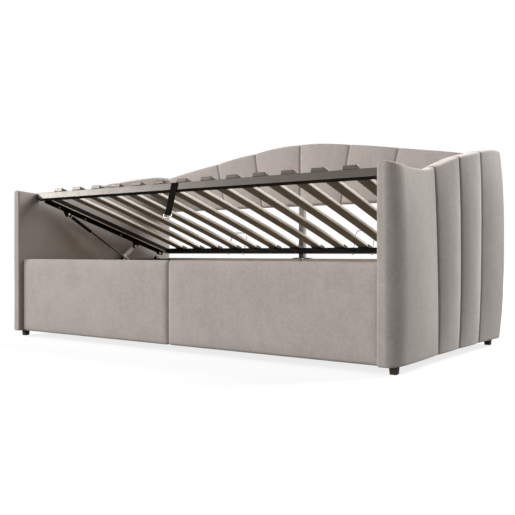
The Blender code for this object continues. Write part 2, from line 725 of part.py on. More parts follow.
def add_pin(host, name, steps, y, z, parent, side, solver="EXACT"):
    """Join a stepped pin to its host: steps are (x, radius) pairs from its inner end outwards."""
    bm = bmesh.new()
    outline = [(steps[0][0], 0.0)] + steps + [(steps[-1][0], 0.0)]
    verts = [bm.verts.new((side * x, radius, 0.0)) for x, radius in outline]
    edges = [bm.edges.new(pair) for pair in zip(verts, verts[1:])]
    bmesh.ops.spin(bm, geom=verts + edges, axis=(1.0, 0.0, 0.0), cent=(0.0, 0.0, 0.0), angle=math.tau,
                   steps=SMALL_SIDES, use_merge=True)
    bmesh.ops.remove_doubles(bm, verts=bm.verts, dist=SEAT_GAP / 10)
    pin = add_object(host.name + "_" + name, bm, None, parent, (0.0, y, z), TOOLS)
    combine(host, pin, "UNION", solver)


def make_base_rail(name, side):
    """The bar screwed to the arm, which carries the lift mechanism's lower plate."""
    top = FOOT_HEIGHT + PANEL_HEIGHT - BASE_RAIL_DROP
    xs = sorted((side * RAIL_INNER, side * RAIL_OUTER))
    box("base_rail_" + name, (xs[0], BASE_RAIL_FRONT, top - BASE_RAIL_HEIGHT), (xs[1], WELL_REAR, top),
        DARK_METAL, ORIGIN, METAL_PLATE / 2)


def make_lower_plate(name, side):
    """The fixed plate, with a raised ear and a headed pin for each link."""
    top = FOOT_HEIGHT + PANEL_HEIGHT - BASE_RAIL_DROP
    bottom = top - LOWER_PLATE_HEIGHT
    front_y, front_z = FRONT_BASE_PIVOT
    rear_y, rear_z = REAR_BASE_PIVOT
    ear = PLATE_LOBE_RADIUS
    outline = [(front_y - LOWER_PLATE_END_LENGTH, bottom), (rear_y + LOWER_PLATE_END_LENGTH, bottom),
               (rear_y + LOWER_PLATE_END_LENGTH, top), (rear_y + 2 * ear, top)]
    outline += arc((rear_y, rear_z), ear, math.radians(30), math.radians(150), 6)
    outline += [(rear_y - 2 * ear, top), (front_y + 2 * ear, top)]
    outline += arc((front_y, front_z), ear, math.radians(20), math.radians(160), 6)
    outline += [(front_y - 2 * ear, top), (front_y - LOWER_PLATE_END_LENGTH, top)]
    lower = plate("lower_plate_" + name, [outline], side * LOWER_INNER, side * LOWER_OUTER, DARK_METAL, ORIGIN)
    middle = (LOWER_INNER + LOWER_OUTER) / 2
    steps = [(HEAD_INNER, HEAD_RADIUS), (HEAD_OUTER, HEAD_RADIUS), (HEAD_OUTER, PIN_RADIUS),
             (middle, PIN_RADIUS)]
    for pivot_name, (y, z) in (("front", FRONT_BASE_PIVOT), ("rear", REAR_BASE_PIVOT)):
        add_pin(lower, pivot_name + "_pin", steps, y, z, ORIGIN, side)


def make_front_link(name, side, pivot):
    """A bell crank: one arm lifts the deck and the other takes the gas strut's push."""
    hole = PIN_RADIUS + PIN_CLEARANCE
    tip = (FRONT_LINK_LENGTH, 0.0)
    lift_arm = [capsule((0.0, 0.0), tip, LINK_HALF_WIDTH), circle((0.0, 0.0), hole), circle(tip, hole)]
    link = plate("front_link_" + name, lift_arm, side * LINK_INNER, side * LINK_OUTER, ZINC, pivot)
    reach = turned_point((CRANK_LENGTH, 0.0), CRANK_ANGLE)
    start = turned_point((LINK_HALF_WIDTH, 0.0), CRANK_ANGLE)
    crank = plate("front_link_crank_" + name, [capsule(start, reach, LINK_HALF_WIDTH)],
                  side * LINK_INNER, side * LINK_OUTER, None, pivot, TOOLS)
    bore = cylinder_x("front_link_bore_" + name, side * HEAD_INNER, side * LOWER_OUTER, 0.0, 0.0, hole, pivot)
    combine(link, crank, "UNION")
    combine(link, bore, "DIFFERENCE")


def make_rear_link(name, side, pivot):
    hole = PIN_RADIUS + PIN_CLEARANCE
    tip = (REAR_LINK_LENGTH, 0.0)
    outline = [capsule((0.0, 0.0), tip, REAR_LINK_HALF_WIDTH), circle((0.0, 0.0), hole)]
    plate("rear_link_" + name, outline, side * LINK_INNER, side * LINK_OUTER, ZINC, pivot)


def make_upper_plate(name, side, deck):
    """The angle under the deck's end rail, with lobes for the two links and the gas strut."""
    top = -SEAT_GAP
    flange = -UPPER_FLANGE_HEIGHT
    lobe = PLATE_LOBE_RADIUS
    run = 2 * lobe
    front_u, front_w = FRONT_DECK_PIVOT
    rear_u, rear_w = REAR_DECK_PIVOT
    strut_u, strut_w = STRUT_DECK_PIVOT
    end = DECK_DEPTH - RAIL_DEPTH - SEAT_GAP
    start = FRONT_RAIL_DEPTH + SEAT_GAP
    outline = [(start, top), (start, flange), (strut_u - run, flange)]
    outline += arc((strut_u, strut_w), lobe, math.radians(210), math.radians(330), 6)
    outline += [(strut_u + run, flange), (front_u - run, flange)]
    outline += arc((front_u, front_w), lobe, math.radians(210), math.radians(330), 6)
    outline += [(front_u + run, flange), (rear_u - run, flange)]
    outline += arc((rear_u, rear_w), lobe, math.radians(240), math.radians(300), 4)
    outline += [(rear_u + run, flange), (end, flange), (end, top)]
    upper = plate("upper_plate_" + name, [outline], side * UPPER_INNER, side * UPPER_OUTER, DARK_METAL, deck)
    xs = sorted((side * END_RAIL_INNER, side * (UPPER_INNER + METAL_PLATE / 2)))
    ledge = box("upper_plate_ledge_" + name, (xs[0], start + SEAT_GAP, top - METAL_PLATE),
                (xs[1], end - SEAT_GAP, top - SEAT_GAP), None, deck, 0.0, TOOLS)
    solver = "MANIFOLD"
    combine(upper, ledge, "UNION", solver)
    middle = (UPPER_INNER + UPPER_OUTER) / 2
    link_steps = [(UPPER_INNER - HEAD_THICKNESS, HEAD_RADIUS), (middle, HEAD_RADIUS), (middle, BOSS_RADIUS),
                  (HEAD_OUTER, BOSS_RADIUS), (HEAD_OUTER, PIN_RADIUS), (LINK_OUTER - SEAT_GAP, PIN_RADIUS)]
    add_pin(upper, "link_pin", link_steps, front_u, front_w, deck, side, solver)
    rear_steps = [(UPPER_INNER - HEAD_THICKNESS, HEAD_RADIUS), (middle, HEAD_RADIUS), (middle, BOSS_RADIUS),
                  (HEAD_OUTER, BOSS_RADIUS)]
    add_pin(upper, "rear_pin", rear_steps, rear_u, rear_w, deck, side, solver)
    eye_inner = STRUT_X - EYE_THICKNESS / 2
    strut_steps = [(eye_inner - HEAD_THICKNESS, HEAD_RADIUS), (eye_inner - SEAT_GAP, HEAD_RADIUS),
                   (eye_inner - SEAT_GAP, PIN_RADIUS), (STRUT_EYE_OUTER + SEAT_GAP, PIN_RADIUS),
                   (STRUT_EYE_OUTER + SEAT_GAP, BOSS_RADIUS), (middle, BOSS_RADIUS)]
    add_pin(upper, "strut_pin", strut_steps, strut_u, strut_w, deck, side, solver)
    stud_steps = [(UPPER_INNER - STUD_HEIGHT, STUD_RADIUS), (middle, STUD_RADIUS)]
    for index, share in enumerate(STUD_SHARES):
        add_pin(upper, "stud_%d" % (index + 1), stud_steps, DECK_DEPTH * share, -STUD_DROP, deck, side, solver)


def make_strut_cylinder(name, side, pivot):
    """The gas strut's cylinder with a flat eye, bored for its rod."""
    finish = STRUT_START + STRUT_LENGTH
    bore_end = STRUT_START + STRUT_END_WALL
    neck_end = (EYE_RADIUS + PIN_RADIUS) / 2
    profile = [(0.0, bore_end), (STRUT_BORE_RADIUS, bore_end), (STRUT_BORE_RADIUS, finish),
               (STRUT_RADIUS, finish), (STRUT_RADIUS, STRUT_START),
               (STRUT_NECK_RADIUS, STRUT_START - STRUT_NECK_RADIUS), (STRUT_NECK_RADIUS, neck_end),
               (0.0, neck_end)]
    cylinder = turned("strut_cylinder_" + name, profile, DARK_METAL, pivot, (side * STRUT_X, 0.0, 0.0))
    half = EYE_THICKNESS / 2
    eye = cylinder_x("strut_eye_" + name, side * (STRUT_X - half), side * (STRUT_X + half), 0.0, 0.0,
                     EYE_RADIUS, pivot)
    bore = cylinder_x("strut_eye_bore_" + name, side * (STRUT_X - EYE_THICKNESS),
                      side * (STRUT_X + EYE_THICKNESS), 0.0, 0.0, PIN_RADIUS + PIN_CLEARANCE, pivot)
    combine(cylinder, eye, "UNION")
    combine(cylinder, bore, "DIFFERENCE")


def make_strut_rod(name, side, pivot):
    """The rod runs from inside the cylinder to an eye whose stud meets the crank's face."""
    start = STRUT_START + STRUT_LENGTH - ROD_OVERLAP
    length = STRUT_OPEN_LENGTH
    profile = [(0.0, length), (ROD_RADIUS, length), (ROD_RADIUS, start), (0.0, start)]
    rod = turned("strut_rod_" + name, profile, ZINC, pivot, (side * STRUT_X, 0.0, 0.0))
    half = EYE_THICKNESS / 2
    eye = cylinder_x("rod_eye_" + name, side * (STRUT_X - half), side * (STRUT_X + half), length, 0.0,
                     EYE_RADIUS, pivot)
    stud = cylinder_x("rod_stud_" + name, side * STRUT_X, side * HEAD_OUTER, length, 0.0, PIN_RADIUS, pivot,
                      SMALL_SIDES)
    combine(rod, eye, "UNION")
    combine(rod, stud, "UNION")


def make_rail_end(name, side, front_rail, deck):
    """The slanted cut under one tip of the front rail, and the plastic plug that fills it."""
    tip = HALF_LENGTH - FRONT_RAIL_TIP_GAP
    run = FRONT_RAIL_CUT
    low, high = -FRONT_RAIL_DROP, RAIL_HEIGHT
    rise = high - low
    clear = 2 * SEAT_GAP
    cut = [(tip - 2 * run, low - rise), (tip + run, low - rise), (tip + run, high + rise)]
    plug = [(tip - run + clear, low), (tip, low), (tip, high - clear * rise / run)]
    cut_rings = [[(side * x, y, z) for x, z in cut] for y in (-clear, FRONT_RAIL_DEPTH + clear)]
    plug_rings = [[(side * x, y, z) for x, z in plug] for y in (clear, FRONT_RAIL_DEPTH - clear)]
    cutter = loft("rail_cut_" + name, cut_rings, None, deck, collection=TOOLS)
    combine(front_rail, cutter, "DIFFERENCE")
    loft("rail_end_" + name, plug_rings, FOOT_PLASTIC, deck)


def make_deck_frame(deck):
    inner_end = FRONT_RAIL_DEPTH + SEAT_GAP
    far_end = DECK_DEPTH - RAIL_DEPTH - SEAT_GAP
    tip = HALF_LENGTH - FRONT_RAIL_TIP_GAP
    front = hollow_rail("deck_front_rail", (-tip, 0.0, -FRONT_RAIL_DROP), (tip, FRONT_RAIL_DEPTH, RAIL_HEIGHT),
                        0, DARK_METAL, deck)
    rear = hollow_rail("deck_rear_rail", (-HALF_DECK, DECK_DEPTH - RAIL_DEPTH, 0.0),
                       (HALF_DECK, DECK_DEPTH, RAIL_HEIGHT), 0, DARK_METAL, deck)
    for name, side in (("left", -1), ("right", 1)):
        xs = sorted((side * END_RAIL_INNER, side * END_RAIL_OUTER))
        hollow_rail("deck_end_rail_" + name, (xs[0], inner_end, 0.0), (xs[1], far_end, RAIL_HEIGHT), 1,
                    DARK_METAL, deck)
        make_rail_end(name, side, front, deck)
    hole = HOOP_WIRE_RADIUS + PIN_CLEARANCE
    for middle in (-HOOP_OFFSET, HOOP_OFFSET):
        for side in (-1, 1):
            bm = bmesh.new()
            bmesh.ops.create_cone(bm, cap_ends=True, segments=SMALL_SIDES, radius1=hole, radius2=hole,
                                  depth=2 * RAIL_HEIGHT)
            place = (middle + side * HOOP_WIDTH / 2, DECK_DEPTH - RAIL_DEPTH / 2, RAIL_HEIGHT / 2)
            cutter = add_object("hoop_hole", bm, None, deck, place, TOOLS)
            combine(rear, cutter, "DIFFERENCE")


def rectangle_ring(y, half_width, low, high):
    return [(-half_width, y, low), (half_width, y, low), (half_width, y, high), (-half_width, y, high)]


def make_slats(deck):
    """Sprung slats across the deck, each with a plastic cap on both ends."""
    cap_low = RAIL_HEIGHT + SEAT_GAP
    slat_low = cap_low + SLAT_CAP_WALL
    slat_high = slat_low + SLAT_THICKNESS
    cap_high = slat_high + SLAT_CAP_WALL
    cap_half = SLAT_WIDTH / 2 + SLAT_CAP_WALL
    cap_start, cap_end = SLAT_CAP_LENGTH, DECK_DEPTH - SLAT_CAP_LENGTH
    for index in range(SLAT_COUNT):
        x = (index - (SLAT_COUNT - 1) / 2) * SLAT_PITCH
        rings = [rectangle_ring(0.0, cap_half, cap_low, cap_high),
                 rectangle_ring(cap_start, cap_half, cap_low, cap_high),
                 rectangle_ring(cap_start, SLAT_WIDTH / 2, slat_low, slat_high),
                 rectangle_ring(cap_end, SLAT_WIDTH / 2, slat_low, slat_high),
                 rectangle_ring(cap_end, cap_half, cap_low, cap_high),
                 rectangle_ring(DECK_DEPTH, cap_half, cap_low, cap_high)]
        loft("slat_%02d" % (index + 1), rings, PLY, deck, (x, 0.0, 0.0))


def make_hoops(deck):
    """Wire hoops that keep the mattress back, bolted through the rear rail."""
    nut_top = -SEAT_GAP
    foot = nut_top - HOOP_NUT_HEIGHT - HOOP_WIRE_TAIL
    top = RAIL_HEIGHT + SEAT_GAP + 2 * SLAT_CAP_WALL + SLAT_THICKNESS + HOOP_HEIGHT
    half = HOOP_WIDTH / 2
    y = DECK_DEPTH - RAIL_DEPTH / 2
    bend = HOOP_CORNER_RADIUS
    for name, middle in (("left", -HOOP_OFFSET), ("right", HOOP_OFFSET)):
        route = [(-half, foot)] + arc((-half + bend, top - bend), bend, math.pi, math.pi / 2, 5)
        route += arc((half - bend, top - bend), bend, math.pi / 2, 0.0, 5) + [(half, foot)]
        bm = wire_mesh("mattress_hoop_" + name, [(x, 0.0, z) for x, z in route], HOOP_WIRE_RADIUS, False, 2)
        hoop = add_object("mattress_hoop_" + name, bm, ZINC, deck, (middle, y, 0.0))
        for side in (-1, 1):
            nut_mesh = bmesh.new()
            bmesh.ops.create_cone(nut_mesh, cap_ends=True, segments=6, radius1=HOOP_NUT_RADIUS,
                                  radius2=HOOP_NUT_RADIUS, depth=HOOP_NUT_HEIGHT)
            place = (middle + side * half, y, nut_top - HOOP_NUT_HEIGHT / 2)
            nut = add_object("hoop_nut", nut_mesh, None, deck, place, TOOLS)
            combine(hoop, nut, "UNION")
        smooth(hoop)


def make_strap(deck):
    """The pull strap: doubled webbing that hangs from the front rail, sewn round its ring's bar."""
    front = -SEAT_GAP
    rear_layer = front - STRAP_THICKNESS
    top = RAIL_HEIGHT - STRAP_TOP_DROP
    loop_w = top - STRAP_LENGTH
    middle = front - STRAP_THICKNESS / 2
    spread = math.asin(STRAP_THICKNESS / 2 / STRAP_LOOP_RADIUS)
    outline = [(front, top), (rear_layer, top)]
    outline += arc((middle, loop_w), STRAP_LOOP_RADIUS, math.pi / 2 + spread, 5 * math.pi / 2 - spread, 16)
    plate("pull_strap", [outline, circle((middle, loop_w), STRAP_LOOP_BORE, SMALL_SIDES)],
          STRAP_X - STRAP_WIDTH / 2, STRAP_X + STRAP_WIDTH / 2, WEBBING, deck)
    return (STRAP_X, middle, loop_w)


def make_ring(ring_pivot):
    """A wire ring: a straight bar inside the strap's loop and a round pull below it."""
    half = RING_WIDTH / 2
    bow = half * RING_BOW_SHARE
    route = [(-half, 0.0), (half, 0.0)]
    route += arc((half - bow, -RING_DROP + bow), bow, 0.0, -math.pi / 2, 5)
    route += arc((-half + bow, -RING_DROP + bow), bow, -math.pi / 2, -math.pi, 5)
    bm = wire_mesh("strap_ring", [(x, 0.0, z) for x, z in route], RING_WIRE_RADIUS, True, 2)
    smooth(add_object("strap_ring", bm, CHROME, ring_pivot))


def build():
    make_base_panels()
    make_floor()
    make_feet()
    make_back_post()
    front_y, front_z = FRONT_BASE_PIVOT
    rear_y, rear_z = REAR_BASE_PIVOT
    front_pivot = empty_at("front_link_pivot", ORIGIN, (0.0, front_y, front_z), FRONT_LINK_ANGLE)
    rear_pivot = empty_at("rear_link_pivot", ORIGIN, (0.0, rear_y, rear_z), REAR_LINK_ANGLE)
    deck_y, deck_z = on_deck(FRONT_DECK_PIVOT, True)
    deck_pivot = empty_at("deck_pivot", ORIGIN, (0.0, deck_y, deck_z), -TILT)
    deck = empty_at("deck_frame", deck_pivot, (0.0, -FRONT_PIVOT_U, -FRONT_PIVOT_W))
    strut_y, strut_z = STRUT_OPEN_START
    strut_pivot = empty_at("strut_pivot", ORIGIN, (0.0, strut_y, strut_z), STRUT_ANGLE)
    for name, side in (("left", -1), ("right", 1)):
        make_arm(name + "_arm", side)
        make_back("back_" + name, side)
        make_base_rail(name, side)
        make_lower_plate(name, side)
        make_front_link(name, side, front_pivot)
        make_rear_link(name, side, rear_pivot)
        make_upper_plate(name, side, deck)
        make_strut_cylinder(name, side, strut_pivot)
        make_strut_rod(name, side, strut_pivot)
    make_deck_frame(deck)
    make_slats(deck)
    make_hoops(deck)
    ring_pivot = empty_at("ring_pivot", deck, make_strap(deck))
    make_ring(ring_pivot)


clear_scene()
PARTS = new_collection("storage_daybed")
TOOLS = new_collection("cutters")
ORIGIN = empty_at("daybed_origin", None, (0.0, -DEPTH / 2, 0.0))
build()
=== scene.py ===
"""Storage daybed: velvet upholstery, a lifting slatted deck and its fittings, set in a plain studio.

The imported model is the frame. X runs along the length, Y to the back and Z up, in metres.
"""

import json
import math

import bmesh
import bpy
from mathutils import Matrix, Vector


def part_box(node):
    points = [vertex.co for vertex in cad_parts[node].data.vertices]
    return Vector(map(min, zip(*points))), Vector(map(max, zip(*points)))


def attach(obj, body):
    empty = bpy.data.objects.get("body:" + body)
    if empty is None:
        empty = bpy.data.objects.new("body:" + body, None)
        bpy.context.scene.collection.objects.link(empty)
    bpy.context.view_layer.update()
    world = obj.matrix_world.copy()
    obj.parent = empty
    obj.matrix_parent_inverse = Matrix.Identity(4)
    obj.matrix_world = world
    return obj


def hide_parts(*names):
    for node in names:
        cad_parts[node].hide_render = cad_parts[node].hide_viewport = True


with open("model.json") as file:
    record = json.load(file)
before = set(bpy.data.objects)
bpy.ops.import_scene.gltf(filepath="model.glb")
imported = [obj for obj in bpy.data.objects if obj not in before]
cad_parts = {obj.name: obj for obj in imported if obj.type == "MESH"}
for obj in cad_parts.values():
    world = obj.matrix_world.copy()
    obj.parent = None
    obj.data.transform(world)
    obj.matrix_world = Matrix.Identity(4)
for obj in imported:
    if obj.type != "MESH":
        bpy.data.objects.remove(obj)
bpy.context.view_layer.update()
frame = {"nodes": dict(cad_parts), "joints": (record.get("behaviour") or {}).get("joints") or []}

bl_info = {
    "name": "Storage Daybed",
    "version": (1, 0, 0),
    "blender": (4, 5, 0),
    "location": "View3D > Sidebar > Daybed",
    "description": "Dresses the storage daybed in velvet, finishes its lifting deck and sets the studio",
    "category": "Object",
}

FINISH_PREFIX = "daybed_"
WHITE = (1.0, 1.0, 1.0)
SIDES = (("left", -1), ("right", 1))
JOINTS = {joint["name"]: joint for joint in frame["joints"]}
ARM_LOW, ARM_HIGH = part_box("right_arm")
BACK_LOW, BACK_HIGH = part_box("back_right")

# The shell's main sizes, in metres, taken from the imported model
HALF_LENGTH = ARM_LOW.x
DEPTH = ARM_HIGH.y - ARM_LOW.y
FRONT_Y = ARM_LOW.y
REAR_Y = ARM_HIGH.y
PANEL_BOTTOM = ARM_LOW.z
SEAT_GAP = 0.0003

# How meshes are made: when two points are one, where cross-sections stand, and what is shaded smooth
MERGE = 1e-6
END_CAP_INSET = 0.002
SEAM_RUNS = (0.0015, 0.004, 0.008, 0.014, 0.022, 0.033)
RING_PITCH = 0.022
LONG_EDGE = 0.1
FLAT_FACE = 0.0003
SMOOTH_ANGLE = 40.0
PADDED_SMOOTH_ANGLE = 60.0

# The arm: sizes in metres, and curves as points of (share of the depth, share of the size)
ARM_THICKNESS = 0.0727
ARM_FRONT_HEIGHT = 0.703
ARM_REAR_HEIGHT = 0.855
ARM_FRONT_RADIUS = 0.042
ARM_FRONT_ROLL = 0.085
ARM_REAR_RADIUS = 0.035
ARM_INNER_REAR_RADIUS = 0.027
ARM_CORNER_RADIUS = 0.010
ARM_TOP_CROWN = 0.0022
ARM_BULGE = 0.0125
ARM_BULGE_POWER = 2.7
ARM_INNER_FACE = 0.006
ARM_SEAM_SHARES = (0.362, 0.559, 0.757)
ARM_TOP_RISE = ((0.0, 0.0), (0.11, -0.05), (0.21, -0.035), (0.31, 0.02), (0.40, 0.20), (0.535, 0.475),
                (0.65, 0.655), (0.77, 0.83), (0.90, 0.985), (1.0, 1.0))
ARM_BOTTOM_WIDTH = ((0.0, 1.0), (0.366, 0.876), (0.565, 0.861), (0.766, 0.926), (1.0, 1.051))
ARM_TOP_WIDTH = ((0.0, 0.96), (0.18, 0.70), (0.366, 0.638), (0.565, 0.838), (0.766, 1.004), (1.0, 1.04))
ARM_BULGE_RUN = ((0.0, 0.0), (0.366, 0.415), (0.565, 0.63), (0.766, 0.69), (1.0, 1.0))
ARM_TOP_STEPS = 5
ARM_SIDE_STEPS = 22
ARM_END_RUNS = (0.0, 0.006, 0.02, 0.045, 0.08, 0.13, 0.20, 0.30, 0.43, 0.60, 0.80, 1.0)
ARM_REAR_CHANNEL_SHARE = 0.6
ARM_FIRST_CROWN = 1.05
ARM_EDGE_CROWN = 0.3
ARM_TOP_DRAW = 0.6
ARM_FIRST_CREASE = 0.013
ARM_CREASE = 0.011

# The back: its top falls away from the crest, and its seams fan out
BACK_BOTTOM = BACK_LOW.z - PANEL_BOTTOM
BACK_TOP = BACK_HIGH.z - PANEL_BOTTOM
BACK_TOP_SLOPE = 0.17
BACK_TOP_CREST = 0.25
BACK_TOP_DRAW = 0.7
BACK_FRONT_INSET = 0.052
BACK_REAR_INSET = 0.004
BACK_FRONT_EDGE = 0.018
BACK_REAR_EDGE = 0.012
BACK_REAR_FACE = 0.010
BACK_TOP_SEAMS = (0.306, 0.582)
BACK_BOTTOM_SEAMS = (0.255, 0.52)
BACK_CREASE = 0.009
SEAM_SHADE = 0.0025

# The long panels and their linings
PANEL_CROWN = 0.008
PANEL_CROWN_REACH = 0.034
PANEL_EDGE_RADIUS = 0.011
PANEL_EDGE_SHARES = (0.99, 0.45)
PANEL_END_RUNS = (0.0, 0.0008, 0.0025, 0.005, 0.0085, 0.012, 0.020, 0.035)
PANEL_RING_COUNT = 34
LINING_BOTTOM = 0.088
LINING_TOP_GAP = 0.009
LINING_END_GAP = 0.004
LINING_SUNK = 0.0022
LINING_PROUD = 0.0003
LINING_EDGE = 0.0008

# The back's middle post and the feet
POST_HALF_WIDTH = 0.0125
POST_FRONT_DEPTH = 0.006
POST_FRONT_LIFT = 0.0004
POST_FRONT_EDGE = 0.0008
POST_FOOT_THICKNESS = 0.003
POST_FOOT_EDGE = 0.0006
POST_CLEARANCE = 0.0002
POST_SLEEVE_EDGE = 0.002
SCREW_OFFSET = 0.036
SCREW_RADIUS = 0.005
SCREW_HEIGHT = 0.0016
SCREW_HEAD = ((0.0, 1.0), (0.6, 0.85), (0.96, 0.3), (1.0, 0.0), (0.0, 0.0))
FOOT_EDGE = 0.0035
FOOT_TAPER = 0.84

# The deck, raised and tilted: along and above are counted from its front lower edge
TILT = math.radians(17.2)
OPEN_FRONT_Y = 0.1036
OPEN_FRONT_HEIGHT = 0.6747
DECK_FRONT = Vector((0.0, FRONT_Y + OPEN_FRONT_Y, PANEL_BOTTOM + OPEN_FRONT_HEIGHT))
DECK_DEPTH = 0.9813
HALF_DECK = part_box("deck_rear_rail")[1].x
RAIL_DEPTH = 0.038
RAIL_HEIGHT = 0.023
RAIL_EDGE = 0.0025
RAIL_WALL = 0.0018
RAIL_END_STEP = 0.0006
RAIL_END_DEPTH = 0.0015
FRONT_RAIL_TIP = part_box("deck_front_rail")[1].x
FRONT_RAIL_DEPTH = 0.031
FRONT_RAIL_DROP = 0.0106
FRONT_RAIL_CUT = 0.057
FRONT_RAIL_EDGE = 0.0018
PLUG_CLEARANCE = 0.0006
PLUG_LIFT = 0.0012
PLUG_EDGE = 0.0006

# The slats and the caps that hold their ends
SLAT_COUNT = 13
SLAT_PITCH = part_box("slat_02")[0].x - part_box("slat_01")[0].x
SLAT_HALF_WIDTH = 0.02775
SLAT_LOW = 0.0249
SLAT_HIGH = 0.0387
SLAT_EASE = 0.0018
SLAT_END_GAP = 0.006
SLAT_RING_COUNT = 24
CAP_HALF_WIDTH = 0.0294
CAP_LOW = 0.0233
CAP_HIGH = 0.0403
CAP_LENGTH = 0.042
CAP_EDGE = 0.0022
CAP_SIDE_AREA = 0.0002
CAP_RIM = 0.0004
CAP_STEP = 0.0006
CAP_RECESS = 0.0012

# The mattress hoops with their nuts and washers
HOOP_OFFSET = 0.40
HOOP_HALF_WIDTH = 0.107 / 2
HOOP_RISE = 0.080
HOOP_FOOT = -0.0093
HOOP_BEND = 0.022
HOOP_WIRE_RADIUS = 0.004
NUT_RADIUS = 0.0075
NUT_HEIGHT = 0.0055
NUT_MIDDLE = -0.0034
NUT_EDGE = 0.0006
WASHER_BORE = 0.0046
WASHER_RADIUS = 0.0092
WASHER_EASE = 0.0004
WASHER_LIFT = 0.0001
WASHER_THICKNESS = 0.0012

# The lift mechanism: faces counted from the middle of the daybed, pivots as (y, z)
BASE_HEAD = -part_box("lower_plate_left")[1].x
DECK_HEAD = 0.9433
STRUT_X = -sum(corner.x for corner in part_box("strut_cylinder_left")) / 2
STRUT_HEAD = 0.92825
ROD_FACE = -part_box("strut_rod_left")[1].x
END_RAIL_INNER = -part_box("deck_end_rail_left")[1].x
FRONT_BASE_PIVOT = JOINTS["front_link_hinge"]["pos_m"][1:]
REAR_BASE_PIVOT = JOINTS["rear_link_hinge"]["pos_m"][1:]
FRONT_DECK_PIVOT = JOINTS["deck_hinge"]["pos_m"][1:]
STRUT_DECK_PIVOT = JOINTS["strut_hinge"]["pos_m"][1:]
REAR_PIVOT_ON_DECK = Vector((0.9143, -0.013))
REAR_DECK_PIVOT = DECK_FRONT.yz + Matrix.Rotation(-TILT, 2) @ REAR_PIVOT_ON_DECK
CRANK_LENGTH = 0.065
CRANK_TURN = Matrix.Rotation(math.radians(-74.6), 2)
LINK_RUN = (Vector(FRONT_DECK_PIVOT) - Vector(FRONT_BASE_PIVOT)).normalized()
CRANK_PIVOT = Vector(FRONT_BASE_PIVOT) + CRANK_TURN @ LINK_RUN * CRANK_LENGTH
LINK_BOLT_RADIUS = 0.0072
STRUT_BOLT_RADIUS = 0.0052
CRANK_BOLT_RADIUS = 0.0060
BOLT_HEIGHT = 0.0040
BOLT_RECESS_RADIUS = 0.0018
BOLT_RECESS_FLOOR = 0.80
BOLT_RIM_RADIUS = 0.0026
BOLT_DOME = ((0.60, 0.97), (0.88, 0.78), (1.0, 0.45), (1.0, 0.24), (1.28, 0.22), (1.32, 0.0))
COLLAR_START = 0.017
COLLAR_LENGTH = 0.006
COLLAR_BORE = 0.0091
COLLAR_RADIUS = 0.0096
CYLINDER_END = 0.176
GLAND_GAP = 0.0002
GLAND_LENGTH = 0.004
GLAND_BORE = 0.0044
GLAND_RADIUS = 0.0086
GLAND_SHOULDER = 0.0080
GLAND_NOSE = 0.0072
RIVET_SHARES = (0.129, 0.313, 0.593)
RIVET_DROP = 0.0105
RIVET_FACE = 0.9430
RIVET_HEIGHT = 0.0018
RIVET_RADIUS = 0.0052
RIVET_HEAD = ((0.0, 1.0), (0.5, 0.88), (0.8846, 0.52), (1.0, 0.15), (1.0, 0.0), (0.0, 0.0))
LIP_END_GAP = 0.002
LIP_CLEARANCE = 0.0002
LIP_THICKNESS = 0.0014
LIP_HEIGHT = 0.0050
LIP_EDGE = 0.0004

# The pull strap and its ring, on the front rail
STRAP_X = sum(corner.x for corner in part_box("pull_strap")) / 2
STRAP_TOP = 0.021
STRAP_LENGTH = 0.144
STRAP_LOOP = STRAP_TOP - STRAP_LENGTH
STRAP_HALF_WIDTH = 0.0175
STRAP_ACROSS = (-1.0, -0.985, -0.93, -0.6, -0.2, 0.2, 0.6, 0.93, 0.985, 1.0)
TAPE_THICKNESS = 0.00155
TAPE_BACK = -0.0012
TAPE_FRONT = -0.0029
LOOP_MIDDLE = -0.0020
LOOP_REACH = 0.0030
LOOP_START = 35
LOOP_END = -215
LOOP_NECK = 0.012
LOOP_SHOULDER = 0.0045
LOOP_SHOULDER_SHARE = 0.72
STITCH_ROW = 0.0140
STITCH_COUNT = 26
STITCH_LOW = 0.014
STITCH_HIGH = 0.006
STITCH_FACE = -0.0037
STITCH_UPRIGHT = (0.0007, 0.0006, 0.0036)
STITCH_LEVEL = (0.0032, 0.0006, 0.0007)
STITCH_BAR_PITCH = 0.0046
STITCH_BAR_PLACES = (-2.5, -1.5, -0.5, 0.5, 1.5, 2.5)
STITCH_BAR_GAP = 0.020
RING_HALF_WIDTH = 0.021
RING_DROP = 0.0155
RING_BOW = 0.0063
RING_BEND = 0.0015
RING_WIRE_RADIUS = 0.0019

# The studio: where the lamps stand and look, and the camera at the photograph's angle
KEY_PLACE = (4.0, 8.4, 6.8)
KEY_TARGET = (0.3, 0.0, 0.4)
KEY_SIZE = (7.0, 7.0)
FRONT_TOWARDS = (-1.1, -5.0, 1.3)
FRONT_SPREAD = math.radians(32.0)
LEFT_PLACE = (-7.3, -4.1, 3.9)
LEFT_TARGET = (-0.9, -0.45, 0.71)
LEFT_SIZE = (2.2, 1.8)
FLOOR_REACH = 30.0
GLOW_RUN = (1.5, 4.0)
GLOW_STRENGTH = (0.80, 1.0)
CAMERA_PLACE = (2.0922, -2.7852, 0.422)
CAMERA_TURN = (math.radians(89.605), 0.0, math.radians(35.788))
CAMERA_LENS = 50.337
CAMERA_SENSOR = 36.0
CAMERA_REACH = 200.0


def named(owner):
    """The settings of this name that the panel shows."""
    return getattr(bpy.context.scene, owner)


